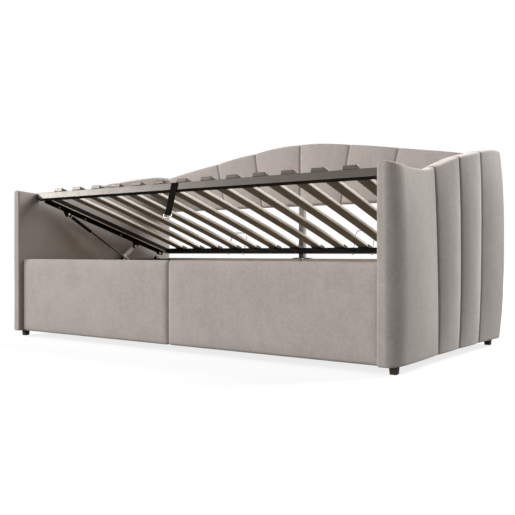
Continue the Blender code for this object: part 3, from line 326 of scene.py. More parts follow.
class VelvetSettings(bpy.types.PropertyGroup):
    colour: bpy.props.FloatVectorProperty(
        name="Velvet", description="Colour of the pile", subtype="COLOR", size=3, min=0.0, max=1.0,
        default=(0.462, 0.412, 0.379))
    sheen: bpy.props.FloatProperty(
        name="Sheen", description="How bright the pile looks at a grazing angle", default=0.85,
        min=0.0, max=1.0)
    channel_crown: bpy.props.FloatProperty(
        name="Channel crown", description="How far a sewn channel stands out between its seams",
        default=0.014, min=0.0, max=0.02, unit="LENGTH")
    seam_depth: bpy.props.FloatProperty(
        name="Seam depth", description="How far a seam is pulled in", default=0.0055, min=0.0, max=0.01,
        unit="LENGTH")
    edge_radius: bpy.props.FloatProperty(
        name="Edge radius", description="Rounding of the padded edges", default=0.008, min=0.001, max=0.02,
        unit="LENGTH")
    pile: bpy.props.FloatProperty(
        name="Pile size", description="Size of the pile's fine grain", default=0.0022, min=0.0005, max=0.01,
        unit="LENGTH")


class DeckSettings(bpy.types.PropertyGroup):
    rail: bpy.props.FloatVectorProperty(
        name="Rail paint", description="Colour of the satin paint on the front rail and the slat caps",
        subtype="COLOR", size=3, min=0.0, max=1.0, default=(0.060, 0.051, 0.042))
    # Also used as painted shade under the front rail and in the slat caps' mouths.
    black: bpy.props.FloatVectorProperty(
        name="Black paint", description="Colour of the painted frame and its plates", subtype="COLOR", size=3,
        min=0.0, max=1.0, default=(0.008, 0.007, 0.006))
    zinc: bpy.props.FloatVectorProperty(
        name="Zinc", description="Colour of the links, rods and bolts", subtype="COLOR", size=3, min=0.0,
        max=1.0, default=(0.50, 0.48, 0.45))
    film: bpy.props.FloatVectorProperty(
        name="Slat film", description="Colour of the printed film on the slats' faces",
        subtype="COLOR", size=3, min=0.0, max=1.0, default=(0.228, 0.199, 0.162))
    ply: bpy.props.FloatVectorProperty(
        name="Slat edges", description="Colour of the raw wood on the slats' edges", subtype="COLOR", size=3,
        min=0.0, max=1.0, default=(1.0, 0.94, 0.85))
    slat_camber: bpy.props.FloatProperty(
        name="Slat camber", description="How far a slat bows up in its middle", default=0.004, min=0.0,
        max=0.012, unit="LENGTH")
    webbing: bpy.props.FloatVectorProperty(
        name="Webbing", description="Colour of the pull strap", subtype="COLOR", size=3, min=0.0, max=1.0,
        default=(0.010, 0.0085, 0.007))


class BoxSettings(bpy.types.PropertyGroup):
    board: bpy.props.FloatVectorProperty(
        name="Board", description="Colour of the raw boards inside the box", subtype="COLOR", size=3, min=0.0,
        max=1.0, default=(0.52, 0.42, 0.30))
    foot: bpy.props.FloatVectorProperty(
        name="Feet", description="Colour of the plastic feet", subtype="COLOR", size=3, min=0.0, max=1.0,
        default=(0.052, 0.038, 0.028))


class StageSettings(bpy.types.PropertyGroup):
    floor: bpy.props.FloatVectorProperty(
        name="Floor", description="Colour of the studio floor", subtype="COLOR", size=3, min=0.0, max=1.0,
        default=(0.28, 0.28, 0.28))
    ambient: bpy.props.FloatProperty(
        name="Ambient", description="Strength of the even light from all round", default=0.13,
        min=0.0, max=2.0)
    key: bpy.props.FloatProperty(
        name="Key light", description="Power of the large light above, behind and to the right",
        default=1980.0, min=0.0, max=5000.0, unit="POWER")
    front: bpy.props.FloatProperty(
        name="Front light", description="Strength of the soft, even light from the front",
        default=1.66, min=0.0, max=20.0)
    left: bpy.props.FloatProperty(
        name="Left light", description="Power of the smaller light on the left, which the front rail mirrors",
        default=530.0, min=0.0, max=3000.0, unit="POWER")


# Shapes


def follow(points, share):
    """A smooth curve through chosen points, read at one share of its length."""
    share = min(max(share, points[0][0]), points[-1][0])
    index = 0
    while index < len(points) - 2 and points[index + 1][0] < share:
        index += 1

    def slope(at):
        before = points[max(at - 1, 0)]
        after = points[min(at + 1, len(points) - 1)]
        return (after[1] - before[1]) / (after[0] - before[0])

    start, end = points[index], points[index + 1]
    span = end[0] - start[0]
    t = (share - start[0]) / span
    rise = t * t * (3 - 2 * t)
    lead = t * (1 - t) * (1 - t)
    trail = t * t * (t - 1)
    return (start[1] * (1 - rise) + end[1] * rise
            + span * (slope(index) * lead + slope(index + 1) * trail))


def rounding(distance, radius):
    """How far a rounded edge falls back at this distance from the end."""
    if distance >= radius:
        return 0.0
    reach = radius - max(distance, 0.0)
    return radius - math.sqrt(radius * radius - reach * reach)


def pillow(share, sharpness=2.4):
    """How full a channel is between its two seams, from 0 to 1."""
    return 1 - abs(2 * min(max(share, 0.0), 1.0) - 1) ** sharpness


def crease(distance, width):
    """How deep a seam draws the cloth in at this distance from it, from 0 to 1."""
    return max(0.0, 1 - abs(distance) / width) ** 2


def spread(low, high):
    """Places from low to high that are close together at both ends, without the high end."""
    places = [low] + [low + step for step in SEAM_RUNS]
    first, last = places[-1], high - SEAM_RUNS[-1]
    count = max(1, round((last - first) / RING_PITCH))
    places += [first + (last - first) * n / count for n in range(1, count + 1)]
    return places + [high - step for step in reversed(SEAM_RUNS[:-1])]


def arc(centre, radius, start, end, steps):
    """Points on an arc in a plane, from one angle in degrees to another, ends included."""
    points = []
    for step in range(steps + 1):
        angle = math.radians(start + (end - start) * step / steps)
        points.append((centre[0] + radius * math.cos(angle), centre[1] + radius * math.sin(angle)))
    return points


def between(start, end, steps):
    """Points along a straight line, without its ends."""
    return [tuple(a + (b - a) * n / steps for a, b in zip(start, end)) for n in range(1, steps)]


def wrap(rings, seams=None):
    """Wrap a grid round closed rings of equal length and close both ends.

    seams tells for each ring how close it is to a seam, from 0 to 1, and is kept so that the velvet's finish
    paints shade in the seams.
    """
    across, around = len(rings) - 1, len(rings[0])
    bm = bmesh.new()
    painted_seam_shade = bm.verts.layers.float.new("seam") if seams else None
    bmesh.ops.create_grid(bm, x_segments=across, y_segments=around, size=1.0)
    for vert in bm.verts:
        ring = round((vert.co.x + 1) / 2 * across)
        place = round((vert.co.y + 1) / 2 * around) % around
        vert.co = rings[ring][place]
        if seams:
            vert[painted_seam_shade] = seams[ring]
    bmesh.ops.remove_doubles(bm, verts=bm.verts, dist=MERGE)
    rims = [edge for edge in bm.edges if edge.is_boundary]
    caps = bmesh.ops.holes_fill(bm, edges=rims, sides=0)["faces"]
    bmesh.ops.inset_individual(bm, faces=caps, thickness=END_CAP_INSET)
    bmesh.ops.recalc_face_normals(bm, faces=bm.faces)
    return bm


def round_off(bm, edges, radius, segments=3):
    """Round some edges of a shape."""
    bmesh.ops.bevel(bm, geom=edges, offset=radius, offset_type="OFFSET", segments=segments, profile=0.5,
                    affect="EDGES", material=-1)
    return bm


def block(low, high, edge=0.0, segments=3):
    """A block between two corners, with rounded edges where a radius is given."""
    low, high = Vector(low), Vector(high)
    bm = bmesh.new()
    bmesh.ops.create_cube(bm, size=1.0)
    bmesh.ops.scale(bm, vec=high - low, verts=bm.verts)
    bmesh.ops.translate(bm, vec=(low + high) / 2, verts=bm.verts)
    return round_off(bm, bm.edges[:], edge, segments) if edge else bm


def long_edges(bm):
    """The edges that run the length of a rail."""
    return [edge for edge in bm.edges if abs(edge.verts[0].co.x - edge.verts[1].co.x) > LONG_EDGE]


def cut_off(bm, place, outwards):
    """Take away what lies outside a plane and close the cut."""
    bmesh.ops.bisect_plane(bm, geom=bm.verts[:] + bm.edges[:] + bm.faces[:], dist=MERGE, plane_co=place,
                           plane_no=outwards, clear_outer=True)
    bmesh.ops.holes_fill(bm, edges=[edge for edge in bm.edges if edge.is_boundary], sides=0)


def sink(bm, faces, rim, step, depth):
    """Sink faces behind a flat rim and a slanted step."""
    bmesh.ops.inset_individual(bm, faces=faces, thickness=rim, depth=0.0)
    bmesh.ops.inset_individual(bm, faces=faces, thickness=step, depth=-depth)


def turned(profile, start, end, steps=32, radius=1.0):
    """A turned piece: (radius, share of the run) points spun round the line from start to end.

    A profile that is drawn for a radius of 1 is brought to size by radius.
    """
    start, end = Vector(start), Vector(end)
    axis = end - start
    across = axis.orthogonal().normalized() * radius
    bm = bmesh.new()
    verts = [bm.verts.new(start + axis * share + across * out) for out, share in profile]
    edges = [bm.edges.new(pair) for pair in zip(verts, verts[1:])]
    bmesh.ops.spin(bm, geom=verts + edges, axis=axis.normalized(), cent=start, angle=math.tau, steps=steps,
                   use_merge=True)
    bmesh.ops.remove_doubles(bm, verts=bm.verts, dist=MERGE)
    bmesh.ops.recalc_face_normals(bm, faces=bm.faces)
    return bm


def join_mesh(bm, other):
    """Add a second bmesh to the first."""
    mesh = bpy.data.meshes.new("part")
    other.to_mesh(mesh)
    other.free()
    bm.from_mesh(mesh)
    bpy.data.meshes.remove(mesh)
    return bm


def on_deck(bm):
    """Carry a shape drawn along the flat deck to where the raised deck is."""
    turn = Matrix.Rotation(-TILT, 4, "X")
    bmesh.ops.transform(bm, matrix=Matrix.Translation(DECK_FRONT) @ turn, verts=bm.verts)
    return bm


def deck_point(along, above):
    """Where a point of the deck is when the deck is raised."""
    return DECK_FRONT + Matrix.Rotation(-TILT, 3, "X") @ Vector((0.0, along, above))


def add_piece(name, bm, material, body, replaced=(), smooth_angle=SMOOTH_ANGLE, flat_over=None):
    """Make a finished piece of a bmesh and let it ride on its body; its finish may be several.

    Faces over an area keep flat shading, so that the rounded edges beside them don't bend the light on them.
    """
    mesh = bpy.data.meshes.new(name)
    bm.to_mesh(mesh)
    bm.free()
    for finish in material if isinstance(material, tuple) else (material,):
        mesh.materials.append(finish)
    mesh.shade_smooth()
    mesh.set_sharp_from_angle(angle=math.radians(smooth_angle))
    for face in mesh.polygons:
        face.use_smooth = flat_over is None or face.area < flat_over
    piece = bpy.data.objects.new(name, mesh)
    bpy.context.scene.collection.objects.link(piece)
    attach(piece, body)
    if replaced:
        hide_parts(*replaced)
    return piece


def repaint(node, material):
    """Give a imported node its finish."""
    piece = frame["nodes"][node]
    piece.data.materials.clear()
    piece.data.materials.append(material)


def wire(route, radius, cyclic=False):
    """A round wire along a route."""
    curve = bpy.data.curves.new("wire", "CURVE")
    curve.dimensions = "3D"
    curve.bevel_depth = radius
    curve.bevel_resolution = 5
    curve.use_fill_caps = True
    spline = curve.splines.new("POLY")
    spline.points.add(len(route) - 1)
    for point, place in zip(spline.points, route):
        point.co = (*place, 1.0)
    spline.use_cyclic_u = cyclic
    holder = bpy.data.objects.new("wire", curve)
    mesh = bpy.data.meshes.new_from_object(holder)
    bpy.data.objects.remove(holder)
    bpy.data.curves.remove(curve)
    bm = bmesh.new()
    bm.from_mesh(mesh)
    bpy.data.meshes.remove(mesh)
    bmesh.ops.remove_doubles(bm, verts=bm.verts, dist=MERGE)
    bmesh.ops.recalc_face_normals(bm, faces=bm.faces)
    return bm


def faces_along(bm, axis, share, sign=0):
    """The faces that look along an axis, one way or both."""
    bm.normal_update()
    return [face for face in bm.faces
            if (face.normal[axis] * sign if sign else abs(face.normal[axis])) > share]


def soften(piece):
    """Finish a padded piece with one level of subdivision."""
    surface = piece.modifiers.new("padding", "SUBSURF")
    surface.levels = 1
    surface.render_levels = 1
    return piece


# Finishes


class Finish:
    """A material under construction, with short calls for the nodes that it uses."""

    def __init__(self, name):
        self.material = bpy.data.materials.new(FINISH_PREFIX + name)
        self.material.use_nodes = True
        self.tree = self.material.node_tree
        self.tree.nodes.clear()
        self.shader = self.add("ShaderNodeBsdfPrincipled")
        output = self.add("ShaderNodeOutputMaterial")
        self.link(self.shader.outputs[0], output.inputs["Surface"])
        self.coords = self.add("ShaderNodeTexCoord").outputs["Object"]

    def add(self, kind, **settings):
        node = self.tree.nodes.new(kind)
        for key, value in settings.items():
            setattr(node, key, value)
        return node

    def link(self, source, target):
        self.tree.links.new(source, target)

    def base(self, colour=None, **values):
        if colour is not None:
            self.shader.inputs["Base Color"].default_value = (*colour, 1.0)
        for key, value in values.items():
            self.shader.inputs[key.replace("_", " ")].default_value = value
        return self

    def placed(self, scale=(1.0, 1.0, 1.0), turn=(0.0, 0.0, 0.0)):
        mapping = self.add("ShaderNodeMapping")
        mapping.inputs["Scale"].default_value = scale
        mapping.inputs["Rotation"].default_value = turn
        self.link(self.coords, mapping.inputs["Vector"])
        return mapping.outputs[0]

    def noise(self, scale, detail=3.0, roughness=0.5, distortion=0.0, vector=None):
        node = self.add("ShaderNodeTexNoise")
        node.inputs["Scale"].default_value = scale
        node.inputs["Detail"].default_value = detail
        node.inputs["Roughness"].default_value = roughness
        node.inputs["Distortion"].default_value = distortion
        self.link(vector or self.coords, node.inputs["Vector"])
        return node.outputs["Fac"]

    def bands(self, direction, vector, **values):
        node = self.add("ShaderNodeTexWave", wave_type="BANDS", bands_direction=direction)
        for key, value in values.items():
            node.inputs[key.replace("_", " ")].default_value = value
        self.link(vector, node.inputs["Vector"])
        return node.outputs["Fac"]

    def ramp(self, factor, stops):
        node = self.add("ShaderNodeValToRGB")
        elements = node.color_ramp.elements
        while len(elements) < len(stops):
            elements.new(0.5)
        for element, (position, colour) in zip(elements, stops):
            element.position = position
            element.color = (*colour, 1.0)
        self.link(factor, node.inputs["Fac"])
        return node.outputs["Color"]

    def tones(self, factor, colour, dark, light, places=(0.3, 0.7)):
        """A colour that goes from one tone to another with a pattern."""
        return self.ramp(factor, ((places[0], shade(colour, dark)), (places[1], shade(colour, light))))

    def grained(self, factor, colour, dark, light):
        """A wood's colour, darker and lighter with its grain."""
        return self.ramp(factor, ((0.28, shade(colour, dark)), (0.52, colour), (0.75, shade(colour, light))))

    def mix(self, factor, first, second, blend="MIX"):
        node = self.add("ShaderNodeMix", data_type="RGBA", blend_type=blend)
        self.give(node.inputs[0], factor)
        self.give(node.inputs[6], first)
        self.give(node.inputs[7], second)
        return node.outputs[2]

    def give(self, socket, value):
        if isinstance(value, bpy.types.NodeSocket):
            self.link(value, socket)
        elif isinstance(value, (int, float)):
            socket.default_value = value
        else:
            socket.default_value = (*value, 1.0)

    def span(self, value, low, high, source=(0.3, 0.7)):
        """A value spread over a new range; a noise's own middle range is the usual source."""
        node = self.add("ShaderNodeMapRange")
        node.inputs["From Min"].default_value, node.inputs["From Max"].default_value = source
        node.inputs["To Min"].default_value, node.inputs["To Max"].default_value = low, high
        self.link(value, node.inputs["Value"])
        return node.outputs[0]

    def bump(self, height, distance, strength=1.0, under=None):
        node = self.add("ShaderNodeBump")
        node.inputs["Distance"].default_value = distance
        node.inputs["Strength"].default_value = strength
        self.link(height, node.inputs["Height"])
        if under is not None:
            self.link(under, node.inputs["Normal"])
        return node.outputs[0]

    def set(self, name, source):
        self.link(source, self.shader.inputs[name])
        return self


def shade(colour, factor):
    """The same colour, lighter or darker."""
    return tuple(min(channel * factor, 1.0) for channel in colour)


def velvet_finish():
    """Short velvet: brushed patches, a fine grain of pile, painted shade in the seams and a bright grazing
    sheen.
    """
    values = named("daybed_velvet")
    colour = tuple(values.colour)
    finish = Finish("velvet")
    finish.base(Roughness=0.85, Specular_IOR_Level=0.25, Sheen_Weight=values.sheen, Sheen_Roughness=0.3,
                Sheen_Tint=(1.0, 0.95, 0.91, 1.0))
    brushed = finish.noise(6.0, detail=4.0, roughness=0.55, distortion=0.6)
    strokes = finish.noise(26.0, distortion=0.3, vector=finish.placed(scale=(1.0, 1.0, 0.35)))
    tufts = finish.noise(95.0, roughness=0.65)
    pile = finish.noise(1.0 / values.pile, detail=2.0, roughness=0.6)
    worked = finish.tones(brushed, colour, 1.0, 1.08, (0.38, 0.64))
    for pattern, low, places in ((strokes, 0.955, (0.38, 0.62)), (tufts, 0.90, (0.38, 0.62)),
                                 (pile, 0.86, (0.35, 0.65))):
        worked = finish.mix(1.0, worked, finish.tones(pattern, WHITE, low, 1.0, places), "MULTIPLY")
    # Painted shade: the seam attribute darkens the pile in and beside each seam.
    seam = finish.add("ShaderNodeAttribute", attribute_name="seam").outputs["Fac"]
    shadow = finish.span(seam, 0.0, 0.6, (0.0, 1.0))
    finish.set("Base Color", finish.mix(shadow, worked, shade(colour, 0.16)))
    soft = finish.bump(strokes, 0.0010, 0.25)
    finish.set("Normal", finish.bump(pile, 0.0006, 0.5, finish.bump(tufts, 0.0008, 0.25, soft)))
    return finish.material


def rail_finish():
    """Satin metallic paint on the front rail and the caps, with faint orange peel."""
    colour = tuple(named("daybed_deck").rail)
    finish = Finish("rail_paint")
    finish.base(Metallic=0.65, Specular_IOR_Level=0.3, Coat_Weight=0.2, Coat_Roughness=0.42)
    finish.set("Base Color", finish.tones(finish.noise(14.0), colour, 0.92, 1.08, (0.3, 0.75)))
    finish.set("Roughness", finish.span(finish.noise(60.0, detail=4.0), 0.385, 0.445))
    finish.set("Normal", finish.bump(finish.noise(900.0, detail=2.0), 0.0001, 0.2))
    return finish.material


def black_finish():
    """Black paint on rolled steel, rubbed a little along its length."""
    colour = tuple(named("daybed_deck").black)
    # This black also serves as painted shade under the front rail.
    finish = Finish("black_paint")
    finish.base(Metallic=0.0, Specular_IOR_Level=0.06)
    rubbed = finish.noise(38.0, detail=5.0, roughness=0.65, vector=finish.placed(scale=(1.0, 0.25, 1.0)))
    worn = finish.tones(rubbed, WHITE, 0.0, 0.5, (0.60, 0.78))
    paint = finish.tones(finish.noise(14.0), colour, 0.8, 1.3, (0.3, 0.75))
    finish.set("Base Color", finish.mix(worn, paint, shade(colour, 4.0)))
    finish.set("Roughness", finish.span(rubbed, 0.55, 0.36))
    finish.set("Normal", finish.bump(finish.noise(800.0, detail=2.0), 0.0001, 0.3))
    return finish.material


def bronze_highlight_finish():
    """Thin brown paint that shows the steel's grain, made pale so that the lip's edge reads light: partly a
    painted highlight.
    """
    dark, light = (0.22, 0.175, 0.12), (0.38, 0.31, 0.22)
    finish = Finish("bronze_paint")
    finish.base(Metallic=0.5, Specular_IOR_Level=0.4)
    streaks = finish.noise(120.0, detail=4.0, roughness=0.6, vector=finish.placed(scale=(1.0, 0.15, 1.0)))
    finish.set("Base Color", finish.ramp(streaks, ((0.3, dark), (0.7, light))))
    finish.set("Roughness", finish.span(streaks, 0.34, 0.5))
    return finish.material


def zinc_finish():
    """Zinc plating: faintly spangled grey metal with fine brushing."""
    colour = tuple(named("daybed_deck").zinc)
    finish = Finish("zinc")
    finish.base(Metallic=0.95, Specular_IOR_Level=0.5)
    brushing = finish.noise(500.0, detail=2.0, vector=finish.placed(scale=(1.0, 0.08, 1.0)))
    finish.set("Base Color", finish.tones(finish.noise(160.0, detail=2.0), colour, 0.82, 1.12))
    finish.set("Roughness", finish.span(brushing, 0.24, 0.42))
    finish.set("Normal", finish.bump(brushing, 0.0001, 0.3))
    return finish.material


def nitrided_finish():
    """Blackened, polished steel of the struts' rods."""
    finish = Finish("nitrided")
    finish.base((0.022, 0.021, 0.020), Metallic=0.9)
    finish.set("Roughness", finish.span(finish.noise(400.0, detail=2.0), 0.18, 0.30))
    return finish.material


def chrome_finish():
    """Chrome plating of the strap's ring, a little dulled by handling."""
    finish = Finish("chrome")
    finish.base((0.82, 0.81, 0.79), Metallic=1.0)
    finish.set("Roughness", finish.span(finish.noise(300.0), 0.06, 0.16))
    return finish.material


def film_finish():
    """Printed wood film on the slats' faces: a brown ground with fine long grain."""
    colour = tuple(named("daybed_deck").film)
    finish = Finish("slat_film")
    finish.base(Specular_IOR_Level=0.3)
    grain = finish.noise(70.0, detail=5.0, roughness=0.6, distortion=0.4,
                         vector=finish.placed(scale=(6.0, 0.16, 2.0), turn=(TILT, 0.0, 0.0)))
    pores = finish.noise(300.0, detail=2.0,
                         vector=finish.placed(scale=(4.0, 0.10, 2.0), turn=(TILT, 0.0, 0.0)))
    wood = finish.grained(grain, colour, 0.82, 1.16)
    fine = finish.ramp(pores, ((0.35, (0.84, 0.82, 0.80)), (0.55, WHITE)))
    finish.set("Base Color", finish.mix(1.0, wood, fine, "MULTIPLY"))
    finish.set("Roughness", finish.span(grain, 0.42, 0.58))
    finish.set("Normal", finish.bump(pores, 0.0001, 0.25))
    return finish.material


def ply_finish():
    """Raw edges of bent plywood: pale veneers with thin glue lines between them."""
    colour = tuple(named("daybed_deck").ply)
    finish = Finish("slat_ply")
    finish.base(Specular_IOR_Level=0.3)
    grain = finish.noise(60.0, detail=5.0, roughness=0.6, distortion=0.4,
                         vector=finish.placed(scale=(6.0, 0.22, 2.0), turn=(TILT, 0.0, 0.0)))
    veneers = finish.bands("Z", finish.placed(turn=(TILT, 0.0, 0.0)), Scale=62.0, Distortion=0.3,
                           Detail_Scale=3.0)
    wood = finish.grained(grain, colour, 0.90, 1.05)
    glue = finish.ramp(veneers, ((0.04, (0.80, 0.75, 0.68)), (0.20, WHITE)))
    finish.set("Base Color", finish.mix(0.55, wood, finish.mix(1.0, wood, glue, "MULTIPLY")))
    finish.set("Roughness", finish.span(grain, 0.55, 0.70))
    finish.set("Normal", finish.bump(grain, 0.0002, 0.3))
    return finish.material


def board_finish():
    """Raw fibreboard: a fine flecked grain."""
    colour = tuple(named("daybed_box").board)
    finish = Finish("raw_board")
    finish.base(Specular_IOR_Level=0.2)
    flecks = finish.noise(420.0, roughness=0.6)
    fine = finish.ramp(flecks, ((0.30, (0.80, 0.78, 0.75)), (0.65, WHITE)))
    broad = finish.tones(finish.noise(9.0), colour, 0.9, 1.1)
    finish.set("Base Color", finish.mix(1.0, broad, fine, "MULTIPLY"))
    finish.set("Roughness", finish.span(flecks, 0.62, 0.82))
    finish.set("Normal", finish.bump(flecks, 0.0002, 0.4))
    return finish.material


def moulded_finish(name, colour, rough, shine=0.5):
    """Moulded plastic with a fine spark-eroded texture."""
    finish = Finish(name)
    finish.base(Specular_IOR_Level=shine)
    grain = finish.noise(1100.0, detail=2.0)
    finish.set("Base Color", finish.tones(finish.noise(30.0, detail=2.0), colour, 0.9, 1.12))
    finish.set("Roughness", finish.span(grain, *rough))
    finish.set("Normal", finish.bump(grain, 0.0001, 0.4))
    return finish.material


def webbing_finish():
    """Woven tape: a herringbone of fine ribs."""
    colour = tuple(named("daybed_deck").webbing)
    finish = Finish("webbing")
    finish.base(Roughness=0.95, IOR=1.02)
    ribs = finish.bands("DIAGONAL", finish.coords, Scale=260.0, Distortion=1.5)
    woven = finish.tones(ribs, colour, 0.6, 1.7, (0.2, 0.8))
    fibres = finish.tones(finish.noise(1500.0, detail=2.0), colour, 0.5, 2.0)
    finish.set("Base Color", finish.mix(0.3, woven, fibres))
    finish.set("Normal", finish.bump(ribs, 0.0004, 0.6))
    return finish.material


def thread_finish():
    """Twisted sewing thread, lighter than the tape."""
    colour = shade(tuple(named("daybed_deck").webbing), 3.0)
    finish = Finish("thread")
    finish.base(Roughness=0.7, Specular_IOR_Level=0.3)
    twist = finish.noise(2600.0, detail=1.0)
    finish.set("Base Color", finish.tones(twist, colour, 0.6, 1.4, (0.35, 0.65)))
    finish.set("Normal", finish.bump(twist, 0.0001, 0.5))
    return finish.material


def finish_named(name):
    """A finish is made once and shared by the pieces that use it."""
    made = bpy.data.materials.get(FINISH_PREFIX + name)
    if made:
        return made
    foot, black = tuple(named("daybed_box").foot), tuple(named("daybed_deck").black)
    makers = {
        "velvet": velvet_finish,
        "rail_paint": rail_finish,
        "black_paint": black_finish,
        "bronze_paint": bronze_highlight_finish,
        "zinc": zinc_finish,
        "nitrided": nitrided_finish,
        "chrome": chrome_finish,
        "slat_film": film_finish,
        "slat_ply": ply_finish,
        "raw_board": board_finish,
        "foot_plastic": lambda: moulded_finish("foot_plastic", foot, (0.55, 0.7), 0.15),
        "black_plastic": lambda: moulded_finish("black_plastic", black, (0.5, 0.64)),
        "webbing": webbing_finish,
        "thread": thread_finish,
    }
    return makers[name]()


# Upholstery


def arm_ring(side, y, fullness, drawn):
    """One upright cross-section of an arm, from the inner bottom edge round to the outer one."""
    values = named("daybed_velvet")
    edge, corner = values.edge_radius, ARM_CORNER_RADIUS
    share = y / DEPTH
    from_rear = DEPTH - y
    front_cut = rounding(y * ARM_FRONT_RADIUS / ARM_FRONT_ROLL, ARM_FRONT_RADIUS)
    outer_cut = front_cut + rounding(from_rear, ARM_REAR_RADIUS) + drawn
    inner = rounding(y, edge) + rounding(from_rear, ARM_INNER_REAR_RADIUS)
    bottom = rounding(y, edge) + rounding(from_rear, edge)
    rise = ARM_REAR_HEIGHT - ARM_FRONT_HEIGHT
    top = ARM_FRONT_HEIGHT + rise * follow(ARM_TOP_RISE, share) - inner - drawn * ARM_TOP_DRAW
    bottom_width = ARM_THICKNESS * follow(ARM_BOTTOM_WIDTH, share)
    top_width = ARM_THICKNESS * follow(ARM_TOP_WIDTH, share)
    bulge = ARM_BULGE * follow(ARM_BULGE_RUN, share)
    crown = values.channel_crown * fullness

    def outer(height_share):
        round_share = 1 - abs(2 * height_share - 1) ** ARM_BULGE_POWER
        width = bottom_width + (top_width - bottom_width) * height_share + bulge * round_share
        return width + crown * (ARM_EDGE_CROWN + (1 - ARM_EDGE_CROWN) * round_share) - outer_cut

    ring = [(inner, bottom + edge)]
    ring += between((inner, bottom + edge), (inner, top - edge), 12)
    ring += arc((inner + edge, top - edge), edge, 180, 90, 4)
    high = (top - corner) / top
    right = outer(high) - corner
    flat = between((inner + edge, top), (right, top), ARM_TOP_STEPS)
    ring += [(out, height + ARM_TOP_CROWN * pillow(n / ARM_TOP_STEPS, 2.0))
             for n, (out, height) in enumerate(flat, 1)]
    ring += arc((right, top - corner), corner, 90, 0, 5)
    low = (bottom + corner) / top
    for step in range(1, ARM_SIDE_STEPS):
        height_share = high + (low - high) * step / ARM_SIDE_STEPS
        ring.append((outer(height_share), top * height_share))
    ring += arc((outer(low) - corner, bottom + corner), corner, 0, -90, 4)
    ring += between((outer(low) - corner, bottom), (inner + edge, bottom), 3)
    ring += arc((inner + edge, bottom + edge), edge, 270, 180, 4)[:-1]
    return [Vector((side * (HALF_LENGTH + out), FRONT_Y + y, PANEL_BOTTOM + height)) for out, height in ring]


def arm_rings(side):
    """Cross-sections from the front face back, close together at the seams and the rounded ends."""
    depth = named("daybed_velvet").seam_depth
    seams = [DEPTH * share for share in ARM_SEAM_SHARES]
    ends = [ARM_FRONT_ROLL * share for share in ARM_END_RUNS]
    rings, seam_shades = [], []

    def add(y, fullness, drawn=0.0):
        rings.append(arm_ring(side, y, fullness, depth * drawn))
        seam_shades.append(seam_mark(y, seams))

    for y in ends:
        add(y, ARM_FIRST_CROWN * pillow(y / seams[0], 2.0))
    for y in spread(ends[-1], seams[0])[1:]:
        add(y, ARM_FIRST_CROWN * pillow(y / seams[0], 2.0), crease(y - seams[0], ARM_FIRST_CREASE))
    for low, high in zip(seams, seams[1:]):
        for y in spread(low, high):
            drawn = max(crease(y - low, ARM_CREASE), crease(y - high, ARM_CREASE))
            add(y, pillow((y - low) / (high - low)), drawn)
    last = seams[-1]
    corner_start = DEPTH - ARM_REAR_RADIUS
    for y in spread(last, corner_start):
        share = (y - last) / (corner_start - last)
        add(y, pillow(share * ARM_REAR_CHANNEL_SHARE), crease(y - last, ARM_CREASE))
    for share in reversed(ARM_END_RUNS):
        y = min(DEPTH - share * ARM_REAR_RADIUS, DEPTH)
        fade = 1 - rounding(DEPTH - y, ARM_REAR_RADIUS) / ARM_REAR_RADIUS
        add(y, pillow(ARM_REAR_CHANNEL_SHARE) * fade)
    return rings, seam_shades


def seam_mark(place, seams):
    """How much painted shade a seam lays on the cloth: 1 in a seam, falling to 0 a few millimetres beside it.
    """
    return max(crease(place - seam, SEAM_SHADE) for seam in seams)


def plain(bm, inside):
    """Take the seam's shade off the places where the cloth has no seam."""
    painted_seam_shade = bm.verts.layers.float["seam"]
    for vert in bm.verts:
        if inside(vert.co):
            vert[painted_seam_shade] = 0.0
    return bm


def back_ring(side, bottom_x, top_x, fullness, drawn):
    """One cross-section of the back, leaning with the fan of its seams."""
    crown = named("daybed_velvet").channel_crown
    front = DEPTH - BACK_FRONT_INSET - crown * fullness + drawn
    rear = DEPTH - BACK_REAR_INSET
    fall = BACK_TOP_SLOPE * (math.hypot(top_x, BACK_TOP_CREST) - BACK_TOP_CREST)
    low, top = BACK_BOTTOM, BACK_TOP - fall - drawn * BACK_TOP_DRAW
    edge, front_edge = BACK_REAR_EDGE, BACK_FRONT_EDGE
    ring = [(rear, low + edge)]
    ring += between((rear, low + edge), (rear, top - edge), 6)
    ring += arc((rear - edge, top - edge), edge, 0, 90, 4)
    ring += between((rear - edge, top), (front + front_edge, top), 3)
    ring += arc((front + front_edge, top - front_edge), front_edge, 90, 180, 6)
    ring += between((front, top - front_edge), (front, low + front_edge), 11)
    ring += arc((front + front_edge, low + front_edge), front_edge, 180, 270, 5)
    ring += between((front + front_edge, low), (rear - edge, low), 3)
    ring += arc((rear - edge, low + edge), edge, 270, 360, 4)[:-1]
    points = []
    for y, height in ring:
        x = bottom_x + (top_x - bottom_x) * (height - low) / (top - low)
        points.append(Vector((side * x, FRONT_Y + y, PANEL_BOTTOM + height)))
    return points


def back_rings(side):
    """Cross-sections from the middle seam out to the arm."""
    depth = named("daybed_velvet").seam_depth
    last = HALF_LENGTH - SEAT_GAP
    tops = [SEAT_GAP] + [HALF_LENGTH * share for share in BACK_TOP_SEAMS] + [last]
    bottoms = [SEAT_GAP] + [HALF_LENGTH * share for share in BACK_BOTTOM_SEAMS] + [last]
    rings, seam_shades = [], []
    for index in range(len(tops) - 1):
        low, high = tops[index], tops[index + 1]
        for top_x in spread(low, high):
            share = (top_x - low) / (high - low)
            bottom_x = bottoms[index] + (bottoms[index + 1] - bottoms[index]) * share
            drawn = depth * max(crease(top_x - low, BACK_CREASE), crease(top_x - high, BACK_CREASE))
            rings.append(back_ring(side, bottom_x, top_x, pillow(share), drawn))
            seam_shades.append(seam_mark(top_x, tops))
    # The end against the arm takes the full painted seam shade.
    rings.append(back_ring(side, last, last, 0.0, depth))
    seam_shades.append(1.0)
    return rings, seam_shades


def swell(distance):
    """How full a panel's padding is at this distance from its edge, from 0 to 1."""
    return 1 - (1 - min(max(distance, 0.0) / PANEL_CROWN_REACH, 1.0)) ** 2


